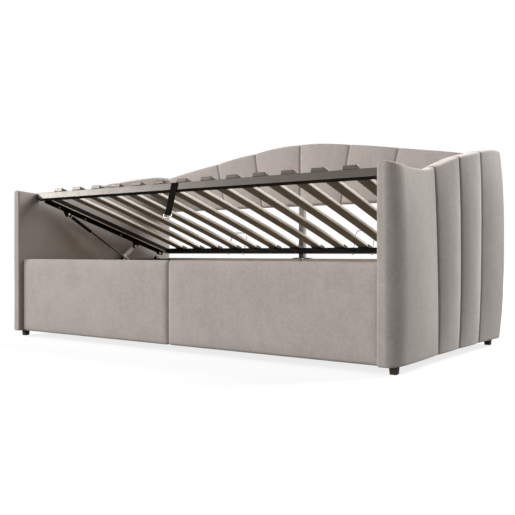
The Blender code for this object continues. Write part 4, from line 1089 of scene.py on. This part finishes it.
def panel_rings(low, high, face):
    """Cross-sections of an upholstered board, from its left end to its right one."""
    rings = []
    runs = [low.x + end for end in PANEL_END_RUNS]
    first, final = runs[-1], high.x - PANEL_END_RUNS[-1]
    runs += [first + (final - first) * n / PANEL_RING_COUNT for n in range(1, PANEL_RING_COUNT + 1)]
    runs += [high.x - end for end in reversed(PANEL_END_RUNS[:-1])]
    most, least = PANEL_EDGE_SHARES
    for x in runs:
        cut = rounding(min(x - low.x, high.x - x), PANEL_EDGE_RADIUS)
        y_low, y_high = low.y + cut, high.y - cut
        z_low, z_high = low.z + cut, high.z - cut
        edge = min(PANEL_EDGE_RADIUS * most, (y_high - y_low) * least)
        ring = arc((y_low + edge, z_high - edge), edge, 180, 90, 5)
        ring += between((y_low + edge, z_high), (y_high - edge, z_high), 3)
        ring += arc((y_high - edge, z_high - edge), edge, 90, 0, 5)
        ring += between((y_high, z_high - edge), (y_high, z_low + edge), 14)
        ring += arc((y_high - edge, z_low + edge), edge, 0, -90, 5)
        ring += between((y_high - edge, z_low), (y_low + edge, z_low), 3)
        ring += arc((y_low + edge, z_low + edge), edge, 270, 180, 5)
        ring += between((y_low, z_low + edge), (y_low, z_high - edge), 14)
        points = []
        for y, z in ring:
            full = swell(min(x - low.x, high.x - x)) * swell(min(z - low.z, high.z - z))
            padded = (y - (low.y + high.y) / 2) * face > 0
            points.append(Vector((x, y + face * PANEL_CROWN * (full - 1) if padded else y, z)))
        rings.append(points)
    return rings


class DAYBED_OT_upholstery(bpy.types.Operator):
    """Arms, back and long panels in channelled velvet"""

    bl_idname = "daybed.upholstery"
    bl_label = "Make upholstery"

    def execute(self, context):
        velvet = finish_named("velvet")
        for name, side in SIDES:
            inner_face = HALF_LENGTH + ARM_INNER_FACE
            shell = plain(wrap(*arm_rings(side)), lambda place: abs(place.x) < inner_face)
            arm = add_piece(name + "_arm_cover", shell, velvet, "base", [name + "_arm"],
                            PADDED_SMOOTH_ANGLE)
            soften(arm)
            rear_face = REAR_Y - BACK_REAR_FACE
            shell = plain(wrap(*back_rings(side)), lambda place: place.y > rear_face)
            back = add_piece("back_cover_" + name, shell, velvet, "base", ["back_" + name],
                             PADDED_SMOOTH_ANGLE)
            soften(back)
            for row, face in (("front", -1), ("rear", 1)):
                node = row + "_panel_" + name
                low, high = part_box(node)
                panel = add_piece(row + "_panel_cover_" + name, wrap(panel_rings(low, high, face)), velvet,
                                  "base", [node], PADDED_SMOOTH_ANGLE)
                soften(panel)
        return {"FINISHED"}


# Box


def post_plate():
    """The steel front and foot of the middle post, with its screws; the front's dark paint beside the pale
    sleeve is partly painted shade on the post's front face.
    """
    low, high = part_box("back_post")
    middle = (low + high) / 2
    bm = block((middle.x - POST_HALF_WIDTH, low.y, low.z + POST_FRONT_LIFT),
               (middle.x + POST_HALF_WIDTH, low.y + POST_FRONT_DEPTH, high.z), POST_FRONT_EDGE, 2)
    foot = block(low, (high.x, high.y, low.z + POST_FOOT_THICKNESS), POST_FOOT_EDGE, 2)
    for face in foot.faces:
        face.material_index = 1
    join_mesh(bm, foot)
    for side in (-1, 1):
        seat = Vector((middle.x + side * SCREW_OFFSET, middle.y, low.z + POST_FOOT_THICKNESS))
        head = turned(SCREW_HEAD, seat, seat + Vector((0.0, 0.0, SCREW_HEIGHT)), 20, SCREW_RADIUS)
        join_mesh(bm, head)
    return bm


def post_sleeve():
    """The covered wooden core of the middle post; its pale velvet beside the dark front plate is the lit side
    of the post's painted shade.
    """
    low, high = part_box("back_post")
    middle = (low.x + high.x) / 2
    front = low.y + POST_FRONT_DEPTH + POST_CLEARANCE
    bottom = low.z + POST_FOOT_THICKNESS + POST_CLEARANCE
    return block((middle - POST_HALF_WIDTH, front, bottom), (middle + POST_HALF_WIDTH, high.y, high.z),
                 POST_SLEEVE_EDGE)


def panel_lining(node, face):
    """The raw board that closes the inside of a long panel."""
    low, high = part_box(node)
    inner = high.y if face > 0 else low.y
    near, far = sorted((inner - face * LINING_SUNK, inner + face * LINING_PROUD))
    return block((low.x + LINING_END_GAP, near, LINING_BOTTOM),
                 (high.x - LINING_END_GAP, far, high.z - LINING_TOP_GAP), LINING_EDGE, 2)


def foot_moulding(node):
    """A square foot that narrows towards the floor."""
    low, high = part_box(node)
    middle = (low + high) / 2
    foot = block(low, high, FOOT_EDGE)
    for vert in foot.verts:
        taper = FOOT_TAPER + (1 - FOOT_TAPER) * (vert.co.z - low.z) / (high.z - low.z)
        vert.co.x = middle.x + (vert.co.x - middle.x) * taper
        vert.co.y = middle.y + (vert.co.y - middle.y) * taper
    return foot


class DAYBED_OT_box(bpy.types.Operator):
    """Boards, post, linings and feet of the storage box"""

    bl_idname = "daybed.box"
    bl_label = "Make storage box"

    def execute(self, context):
        board, metal = finish_named("raw_board"), finish_named("black_paint")
        plastic = finish_named("foot_plastic")
        for node in ("front_ledger", "rear_ledger", "centre_beam", "floor_board_left", "floor_board_right"):
            repaint(node, board)
        # The dark front plate against the pale velvet sleeve is partly painted shade on the post's front.
        add_piece("post_plate", post_plate(), (finish_named("rail_paint"), metal), "base",
                  ["back_post"])
        add_piece("post_sleeve", post_sleeve(), finish_named("velvet"), "base")
        for node in ("base_rail_left", "base_rail_right", "lower_plate_left", "lower_plate_right"):
            repaint(node, metal)
        for node in ("centre_leg_front", "centre_leg_rear"):
            repaint(node, plastic)
        for name, _ in SIDES:
            for row, face in (("front", 1), ("rear", -1)):
                lining = panel_lining(row + "_panel_" + name, face)
                add_piece(row + "_lining_" + name, lining, board, "base")
            for row in ("front", "rear"):
                node = "foot_%s_%s" % (row, name)
                add_piece(node + "_moulding", foot_moulding(node), plastic, "base", [node])
        return {"FINISHED"}


# Deck


def rear_rail():
    """A square tube with rolled edges, closed by plugs that sit in its ends."""
    bm = block((-HALF_DECK, DECK_DEPTH - RAIL_DEPTH, 0.0), (HALF_DECK, DECK_DEPTH, RAIL_HEIGHT))
    round_off(bm, long_edges(bm), RAIL_EDGE)
    sink(bm, faces_along(bm, 0, 0.9), RAIL_WALL, RAIL_END_STEP, RAIL_END_DEPTH)
    return bm


def front_rail():
    """The front rail: a tube whose two tips are cut away slantwise from below, with painted shade: black
    paint on the faces that look down.
    """
    bm = block((-FRONT_RAIL_TIP, 0.0, -FRONT_RAIL_DROP), (FRONT_RAIL_TIP, FRONT_RAIL_DEPTH, RAIL_HEIGHT))
    round_off(bm, long_edges(bm), FRONT_RAIL_EDGE)
    for side in (-1, 1):
        tip = Vector((side * FRONT_RAIL_TIP, 0.0, RAIL_HEIGHT))
        cut_off(bm, tip, Vector((side * (RAIL_HEIGHT + FRONT_RAIL_DROP), 0.0, -FRONT_RAIL_CUT)))
    # Painted shade: the faces that look down take the black paint.
    for face in faces_along(bm, 2, 0.4, -1):
        face.material_index = 1
    return bm


def rail_plug(side):
    """The plastic plug that fills the slanted cut under a tip of the front rail."""
    near, far = sorted((side * (FRONT_RAIL_TIP - FRONT_RAIL_CUT), side * FRONT_RAIL_TIP))
    front, rear = PLUG_CLEARANCE, FRONT_RAIL_DEPTH - PLUG_CLEARANCE
    bm = block((near, front, -FRONT_RAIL_DROP), (far, rear, RAIL_HEIGHT))
    corner = Vector((side * FRONT_RAIL_TIP, 0.0, RAIL_HEIGHT - PLUG_LIFT))
    cut_off(bm, corner, Vector((-side * (RAIL_HEIGHT + FRONT_RAIL_DROP), 0.0, FRONT_RAIL_CUT)))
    return round_off(bm, bm.edges[:], PLUG_EDGE, 2)


def slat_board(x):
    """A sprung slat: a bent ply strip with eased edges, film on its faces and raw wood on its edges."""
    camber = named("daybed_deck").slat_camber
    half, ease = SLAT_HALF_WIDTH, SLAT_EASE
    outline = arc((-half + ease, SLAT_HIGH - ease), ease, 180, 90, 2)
    outline += between((-half + ease, SLAT_HIGH), (half - ease, SLAT_HIGH), 4)
    outline += arc((half - ease, SLAT_HIGH - ease), ease, 90, 0, 2)
    outline += arc((half - ease, SLAT_LOW + ease), ease, 0, -90, 2)
    outline += between((half - ease, SLAT_LOW), (-half + ease, SLAT_LOW), 4)
    outline += arc((-half + ease, SLAT_LOW + ease), ease, 270, 180, 2)
    rings = []
    start, end = SLAT_END_GAP, DECK_DEPTH - SLAT_END_GAP
    for step in range(SLAT_RING_COUNT + 1):
        y = start + (end - start) * step / SLAT_RING_COUNT
        lift = camber * pillow(step / SLAT_RING_COUNT, 2.0)
        rings.append([Vector((x + across, y, z + lift)) for across, z in outline])
    bm = wrap(rings)
    for face in faces_along(bm, 0, 0.5):
        face.material_index = 1
    return bm


def slat_cap(x, start, end):
    """The holder that grips a slat's end, with a shallow recess in each side and a black mouth, which is
    painted shade for the dark inside of its opening.
    """
    near, far = sorted((start, end))
    bm = block((x - CAP_HALF_WIDTH, near, CAP_LOW), (x + CAP_HALF_WIDTH, far, CAP_HIGH), CAP_EDGE)
    sides = [face for face in faces_along(bm, 0, 0.9) if face.calc_area() > CAP_SIDE_AREA]
    sink(bm, sides, CAP_RIM, CAP_STEP, CAP_RECESS)
    # Painted shade: the face where the slat goes in is black.
    for face in faces_along(bm, 1, 0.9, 1 if end > start else -1):
        face.material_index = 1
    return bm


def mattress_hoop(middle):
    """A bent wire hoop with a washer and a nut on each leg."""
    half, bend, foot = HOOP_HALF_WIDTH, HOOP_BEND, HOOP_FOOT
    top = CAP_HIGH + HOOP_RISE
    y = DECK_DEPTH - RAIL_DEPTH / 2
    route = [(-half, foot)] + between((-half, foot), (-half, top - bend), 4)
    route += arc((-half + bend, top - bend), bend, 180, 90, 14)
    route += arc((half - bend, top - bend), bend, 90, 0, 14)
    route += between((half, top - bend), (half, foot), 4) + [(half, foot)]
    bm = wire([(middle + x, y, z) for x, z in route], HOOP_WIRE_RADIUS)
    eased = WASHER_RADIUS - WASHER_EASE
    washer = ((WASHER_BORE, 0.0), (eased, 0.0), (WASHER_RADIUS, 0.25), (eased, 1.0), (WASHER_BORE, 1.0))
    for x in (middle - half, middle + half):
        nut = bmesh.new()
        bmesh.ops.create_cone(nut, cap_ends=True, segments=6, radius1=NUT_RADIUS, radius2=NUT_RADIUS,
                              depth=NUT_HEIGHT)
        bmesh.ops.translate(nut, vec=(x, y, NUT_MIDDLE), verts=nut.verts)
        join_mesh(bm, round_off(nut, nut.edges[:], NUT_EDGE, 2))
        seat = Vector((x, y, RAIL_HEIGHT + WASHER_LIFT))
        join_mesh(bm, turned(washer, seat, seat + Vector((0.0, 0.0, WASHER_THICKNESS)), 24))
    return bm


class DAYBED_OT_deck(bpy.types.Operator):
    """Rails, slats with their caps, and the mattress hoops"""

    bl_idname = "daybed.deck"
    bl_label = "Make deck"

    def execute(self, context):
        paint, black, zinc = finish_named("rail_paint"), finish_named("black_paint"), finish_named("zinc")
        film, ply = finish_named("slat_film"), finish_named("slat_ply")
        plastic = finish_named("black_plastic")
        add_piece("front_rail_tube", on_deck(front_rail()), (paint, black), "deck",
                  ["deck_front_rail"], flat_over=FLAT_FACE)
        add_piece("rear_rail_tube", on_deck(rear_rail()), black, "deck", ["deck_rear_rail"],
                  flat_over=FLAT_FACE)
        for name, side in SIDES:
            add_piece("rail_plug_" + name, on_deck(rail_plug(side)), plastic, "deck",
                      ["rail_end_" + name])
            repaint("deck_end_rail_" + name, black)
            repaint("upper_plate_" + name, black)
            add_piece("hoop_wire_" + name, on_deck(mattress_hoop(side * HOOP_OFFSET)), zinc, "deck",
                      ["mattress_hoop_" + name])
        rows = (("front", 0.0, CAP_LENGTH), ("rear", DECK_DEPTH, DECK_DEPTH - CAP_LENGTH))
        for index in range(SLAT_COUNT):
            x = (index - (SLAT_COUNT - 1) / 2) * SLAT_PITCH
            number = "%02d" % (index + 1)
            add_piece("slat_board_" + number, on_deck(slat_board(x)), (film, ply), "deck",
                      ["slat_" + number])
            for row, start, end in rows:
                add_piece("slat_cap_%s_%s" % (row, number), on_deck(slat_cap(x, start, end)),
                          (paint, plastic), "deck", flat_over=FLAT_FACE)
        return {"FINISHED"}


# Lift mechanism


def bolt(side, inner, place, radius):
    """A domed bolt head with a recess, on a washer, that looks towards the middle."""
    profile = [(0.0, BOLT_RECESS_FLOOR), (BOLT_RECESS_RADIUS, BOLT_RECESS_FLOOR), (BOLT_RIM_RADIUS, 1.0)]
    profile += [(radius * out, share) for out, share in BOLT_DOME] + [(0.0, 0.0)]
    return turned(profile, (side * inner, *place), (side * (inner - BOLT_HEIGHT), *place))


def plate_lip(side):
    """The bare folded edge along the bottom of the deck's end rail; its pale paint is partly a painted
    highlight along that edge.
    """
    outer = END_RAIL_INNER - LIP_CLEARANCE
    near, far = sorted((side * outer, side * (outer - LIP_THICKNESS)))
    start, end = FRONT_RAIL_DEPTH + LIP_END_GAP, DECK_DEPTH - RAIL_DEPTH - LIP_END_GAP
    return block((near, start, -LIP_CLEARANCE - LIP_HEIGHT), (far, end, -LIP_CLEARANCE), LIP_EDGE, 2)


def strut_ring(side, start, length, profile):
    """A ring round the gas strut, at a distance from its upper pivot."""
    upper = Vector((side * STRUT_X, *STRUT_DECK_PIVOT))
    run = (Vector((side * STRUT_X, *CRANK_PIVOT)) - upper).normalized()
    return turned(profile, upper + run * start, upper + run * (start + length))


def strut_collar(side):
    """The crimped ring near the strut's upper end."""
    profile = ((COLLAR_BORE, 0.0), (COLLAR_RADIUS, 0.12), (COLLAR_RADIUS, 0.88), (COLLAR_BORE, 1.0),
               (COLLAR_BORE, 0.0))
    return strut_ring(side, COLLAR_START, COLLAR_LENGTH, profile)


def strut_gland(side):
    """The seal where the rod leaves the cylinder."""
    profile = ((GLAND_BORE, 0.0), (GLAND_RADIUS, 0.0), (GLAND_SHOULDER, 0.8), (GLAND_NOSE, 1.0),
               (GLAND_BORE, 1.0), (GLAND_BORE, 0.0))
    return strut_ring(side, CYLINDER_END + GLAND_GAP, GLAND_LENGTH, profile)


def rivet(side, along):
    """A domed rivet head on the deck's plate."""
    place = deck_point(along, -RIVET_DROP)
    return turned(RIVET_HEAD, (side * RIVET_FACE, place.y, place.z),
                  (side * (RIVET_FACE - RIVET_HEIGHT), place.y, place.z), 20, RIVET_RADIUS)


class DAYBED_OT_mechanism(bpy.types.Operator):
    """Links, gas struts and their bolts"""

    bl_idname = "daybed.mechanism"
    bl_label = "Make lift mechanism"

    def execute(self, context):
        black, zinc, dark = finish_named("black_paint"), finish_named("zinc"), finish_named("nitrided")
        bronze = finish_named("bronze_paint")
        bolts = (("front_base", FRONT_BASE_PIVOT, BASE_HEAD, "base", LINK_BOLT_RADIUS),
                 ("rear_base", REAR_BASE_PIVOT, BASE_HEAD, "base", LINK_BOLT_RADIUS),
                 ("front_deck", FRONT_DECK_PIVOT, DECK_HEAD, "deck", LINK_BOLT_RADIUS),
                 ("rear_deck", REAR_DECK_PIVOT, DECK_HEAD, "deck", LINK_BOLT_RADIUS),
                 ("strut_upper", STRUT_DECK_PIVOT, STRUT_HEAD, "deck", STRUT_BOLT_RADIUS),
                 ("strut_lower", CRANK_PIVOT, ROD_FACE, "strut_rods", CRANK_BOLT_RADIUS))
        for name, side in SIDES:
            repaint("front_link_" + name, zinc)
            repaint("rear_link_" + name, zinc)
            repaint("strut_rod_" + name, dark)
            repaint("strut_cylinder_" + name, black)
            add_piece("strut_collar_" + name, strut_collar(side), zinc, "strut_cylinders")
            add_piece("strut_gland_" + name, strut_gland(side), zinc, "strut_cylinders")
            for row, place, inner, body, radius in bolts:
                add_piece("bolt_%s_%s" % (row, name), bolt(side, inner, place, radius), zinc, body)
            for number, share in enumerate(RIVET_SHARES, 1):
                head = rivet(side, DECK_DEPTH * share)
                add_piece("rivet_%d_%s" % (number, name), head, zinc, "deck")
            # The lip's pale paint is partly a painted highlight along the end rail's lower edge.
            add_piece("plate_lip_" + name, on_deck(plate_lip(side)), bronze, "deck")
        return {"FINISHED"}


# Pull strap


def folded_tape(centre):
    """Both faces of a tape that follows a line, as one closed outline."""
    outer, inner = [], []
    for index, point in enumerate(centre):
        before, after = centre[max(index - 1, 0)], centre[min(index + 1, len(centre) - 1)]
        run = Vector((after[0] - before[0], after[1] - before[1])).normalized()
        across = Vector((-run.y, run.x)) * TAPE_THICKNESS / 2
        outer.append(Vector(point) + across)
        inner.append(Vector(point) - across)
    return outer + inner[::-1]


def pull_strap():
    """Doubled webbing: down from the rail, round the ring's bar, and up again in front."""
    neck, shoulder = STRAP_LOOP + LOOP_NECK, STRAP_LOOP + LOOP_SHOULDER
    out = LOOP_REACH * LOOP_SHOULDER_SHARE
    line = [(TAPE_BACK, STRAP_TOP)] + between((TAPE_BACK, STRAP_TOP), (TAPE_BACK, neck), 14)
    line += [(TAPE_BACK, neck), (LOOP_MIDDLE + out, shoulder)]
    line += arc((LOOP_MIDDLE, STRAP_LOOP), LOOP_REACH, LOOP_START, LOOP_END, 14)
    line += [(LOOP_MIDDLE - out, shoulder), (TAPE_FRONT, neck)]
    line += between((TAPE_FRONT, neck), (TAPE_FRONT, STRAP_TOP), 14) + [(TAPE_FRONT, STRAP_TOP)]
    outline = folded_tape(line)
    return wrap([[Vector((STRAP_X + across * STRAP_HALF_WIDTH, along, above)) for along, above in outline]
                 for across in STRAP_ACROSS])


def strap_stitches():
    """Two rows of stitches down the strap, joined by bars at the top and above the ring."""
    low, high = STRAP_LOOP + STITCH_LOW, STRAP_TOP - STITCH_HIGH
    places = []
    for step in range(STITCH_COUNT):
        above = low + (high - low) * step / (STITCH_COUNT - 1)
        places += [(row, above, STITCH_UPRIGHT) for row in (-STITCH_ROW, STITCH_ROW)]
    for above in (low, low + STITCH_BAR_GAP, high - STITCH_BAR_GAP, high):
        places += [(place * STITCH_BAR_PITCH, above, STITCH_LEVEL) for place in STITCH_BAR_PLACES]
    bm = bmesh.new()
    for across, above, size in places:
        made = bmesh.ops.create_icosphere(bm, subdivisions=1, radius=0.5)["verts"]
        bmesh.ops.scale(bm, vec=size, verts=made)
        bmesh.ops.translate(bm, vec=(STRAP_X + across, STITCH_FACE, above), verts=made)
    return bm


def pull_ring():
    """A wire ring: a straight bar inside the strap's loop and a round pull below it."""
    half, bow, bend = RING_HALF_WIDTH, RING_BOW, RING_BEND
    low = bow - RING_DROP
    route = between((-half, 0.0), (half, 0.0), 6)
    route += arc((half - bend, -bend), bend, 90, 0, 5)
    route += arc((half - bow, low), bow, 0, -90, 10)
    route += arc((-half + bow, low), bow, -90, -180, 10)
    route += arc((-half + bend, -bend), bend, 180, 90, 5)
    return wire([(STRAP_X + x, LOOP_MIDDLE, STRAP_LOOP + z) for x, z in route], RING_WIRE_RADIUS, True)


class DAYBED_OT_strap(bpy.types.Operator):
    """Pull strap and its ring"""

    bl_idname = "daybed.strap"
    bl_label = "Make pull strap"

    def execute(self, context):
        add_piece("strap_webbing", on_deck(pull_strap()), finish_named("webbing"), "deck",
                  ["pull_strap"])
        add_piece("strap_stitching", on_deck(strap_stitches()), finish_named("thread"), "deck")
        add_piece("strap_pull", on_deck(pull_ring()), finish_named("chrome"), "ring",
                  ["strap_ring"])
        return {"FINISHED"}


# Stage


def area_lamp(name, place, target, size, power):
    """A soft rectangular lamp that looks at a point."""
    lamp = bpy.data.lights.new(name, "AREA")
    lamp.shape = "RECTANGLE"
    lamp.size, lamp.size_y = size
    lamp.energy = power
    obj = bpy.data.objects.new(name, lamp)
    obj.location = place
    obj.rotation_euler = (Vector(target) - Vector(place)).to_track_quat("-Z", "Y").to_euler()
    bpy.context.scene.collection.objects.link(obj)


def even_light(name, place, spread_angle, strength):
    """A broad soft light that reaches everything from one side at the same strength."""
    lamp = bpy.data.lights.new(name, "SUN")
    lamp.energy = strength
    lamp.angle = spread_angle
    obj = bpy.data.objects.new(name, lamp)
    obj.rotation_euler = (-Vector(place)).to_track_quat("-Z", "Y").to_euler()
    bpy.context.scene.collection.objects.link(obj)


def seen_directly(tree):
    """1 for rays from the camera, off metal and through glass, 0 for the rays that light things."""
    path = tree.nodes.new("ShaderNodeLightPath")
    total = path.outputs["Is Camera Ray"]
    for name in ("Is Glossy Ray", "Is Transmission Ray"):
        either = tree.nodes.new("ShaderNodeMath")
        either.operation = "MAXIMUM"
        tree.links.new(total, either.inputs[0])
        tree.links.new(path.outputs[name], either.inputs[1])
        total = either.outputs[0]
    return total


class DAYBED_OT_stage(bpy.types.Operator):
    """Floor, soft lights and the camera at the photograph's angle"""

    bl_idname = "daybed.stage"
    bl_label = "Make stage"

    def execute(self, context):
        values = named("daybed_stage")
        scene = context.scene
        scene.view_settings.view_transform = "Standard"
        world = bpy.data.worlds.new("studio")
        world.use_nodes = True
        scene.world = world
        tree = world.node_tree
        tree.nodes.clear()
        lit = tree.nodes.new("ShaderNodeBackground")
        lit.inputs["Color"].default_value = (*WHITE, 1.0)
        lit.inputs["Strength"].default_value = values.ambient
        shown = tree.nodes.new("ShaderNodeBackground")
        shown.inputs["Color"].default_value = (*WHITE, 1.0)
        shown.inputs["Strength"].default_value = 1.0
        chosen = tree.nodes.new("ShaderNodeMixShader")
        output = tree.nodes.new("ShaderNodeOutputWorld")
        tree.links.new(seen_directly(tree), chosen.inputs[0])
        tree.links.new(lit.outputs[0], chosen.inputs[1])
        tree.links.new(shown.outputs[0], chosen.inputs[2])
        tree.links.new(chosen.outputs[0], output.inputs["Surface"])

        bm = bmesh.new()
        bmesh.ops.create_grid(bm, x_segments=1, y_segments=1, size=FLOOR_REACH)
        mesh = bpy.data.meshes.new("floor")
        bm.to_mesh(mesh)
        bm.free()
        floor = bpy.data.objects.new("floor", mesh)
        scene.collection.objects.link(floor)
        mesh.materials.append(self.floor_material(tuple(values.floor)))

        area_lamp("key_light", KEY_PLACE, KEY_TARGET, KEY_SIZE, values.key)
        even_light("front_light", FRONT_TOWARDS, FRONT_SPREAD, values.front)
        area_lamp("left_light", LEFT_PLACE, LEFT_TARGET, LEFT_SIZE, values.left)

        camera = bpy.data.objects.new("camera", bpy.data.cameras.new("camera"))
        camera.location = CAMERA_PLACE
        camera.rotation_euler = CAMERA_TURN
        camera.data.lens = CAMERA_LENS
        camera.data.sensor_width = CAMERA_SENSOR
        camera.data.clip_end = CAMERA_REACH
        scene.collection.objects.link(camera)
        scene.camera = camera
        return {"FINISHED"}

    def floor_material(self, colour):
        """Plain pale floor that keeps a soft shadow and grows fully white further off."""
        material = bpy.data.materials.new("studio_floor")
        material.use_nodes = True
        tree = material.node_tree
        tree.nodes.clear()
        matt = tree.nodes.new("ShaderNodeBsdfDiffuse")
        matt.inputs["Color"].default_value = (*colour, 1.0)
        glow = tree.nodes.new("ShaderNodeEmission")
        place = tree.nodes.new("ShaderNodeTexCoord")
        away = tree.nodes.new("ShaderNodeVectorMath")
        away.operation = "LENGTH"
        fade = tree.nodes.new("ShaderNodeMapRange")
        fade.inputs["From Min"].default_value, fade.inputs["From Max"].default_value = GLOW_RUN
        fade.inputs["To Min"].default_value, fade.inputs["To Max"].default_value = GLOW_STRENGTH
        tree.links.new(place.outputs["Object"], away.inputs[0])
        tree.links.new(away.outputs["Value"], fade.inputs["Value"])
        tree.links.new(fade.outputs[0], glow.inputs["Strength"])
        both = tree.nodes.new("ShaderNodeAddShader")
        chosen = tree.nodes.new("ShaderNodeMixShader")
        output = tree.nodes.new("ShaderNodeOutputMaterial")
        tree.links.new(matt.outputs[0], both.inputs[0])
        tree.links.new(glow.outputs[0], both.inputs[1])
        tree.links.new(seen_directly(tree), chosen.inputs[0])
        tree.links.new(matt.outputs[0], chosen.inputs[1])
        tree.links.new(both.outputs[0], chosen.inputs[2])
        tree.links.new(chosen.outputs[0], output.inputs["Surface"])
        return material


STEPS = (DAYBED_OT_upholstery, DAYBED_OT_box, DAYBED_OT_deck, DAYBED_OT_mechanism, DAYBED_OT_strap,
         DAYBED_OT_stage)
SETTINGS = {
    "daybed_velvet": VelvetSettings,
    "daybed_deck": DeckSettings,
    "daybed_box": BoxSettings,
    "daybed_stage": StageSettings,
}


class DAYBED_PT_panel(bpy.types.Panel):
    """Settings and steps of the storage daybed"""

    bl_idname = "DAYBED_PT_panel"
    bl_label = "Storage Daybed"
    bl_space_type = "VIEW_3D"
    bl_region_type = "UI"
    bl_category = "Daybed"

    def draw(self, context):
        layout = self.layout
        for owner, group in SETTINGS.items():
            box = layout.box()
            values = getattr(context.scene, owner)
            for key in group.__annotations__:
                box.prop(values, key)
        for step in STEPS:
            layout.operator(step.bl_idname)


def register():
    for group in (*SETTINGS.values(), *STEPS, DAYBED_PT_panel):
        bpy.utils.register_class(group)
    for owner, group in SETTINGS.items():
        setattr(bpy.types.Scene, owner, bpy.props.PointerProperty(type=group))


def unregister():
    for owner in SETTINGS:
        delattr(bpy.types.Scene, owner)
    for group in (DAYBED_PT_panel, *reversed(STEPS), *reversed(SETTINGS.values())):
        bpy.utils.unregister_class(group)


def main():
    register()
    bpy.ops.daybed.upholstery()
    bpy.ops.daybed.box()
    bpy.ops.daybed.deck()
    bpy.ops.daybed.mechanism()
    bpy.ops.daybed.strap()
    bpy.ops.daybed.stage()


if __name__ == "__main__":
    main()
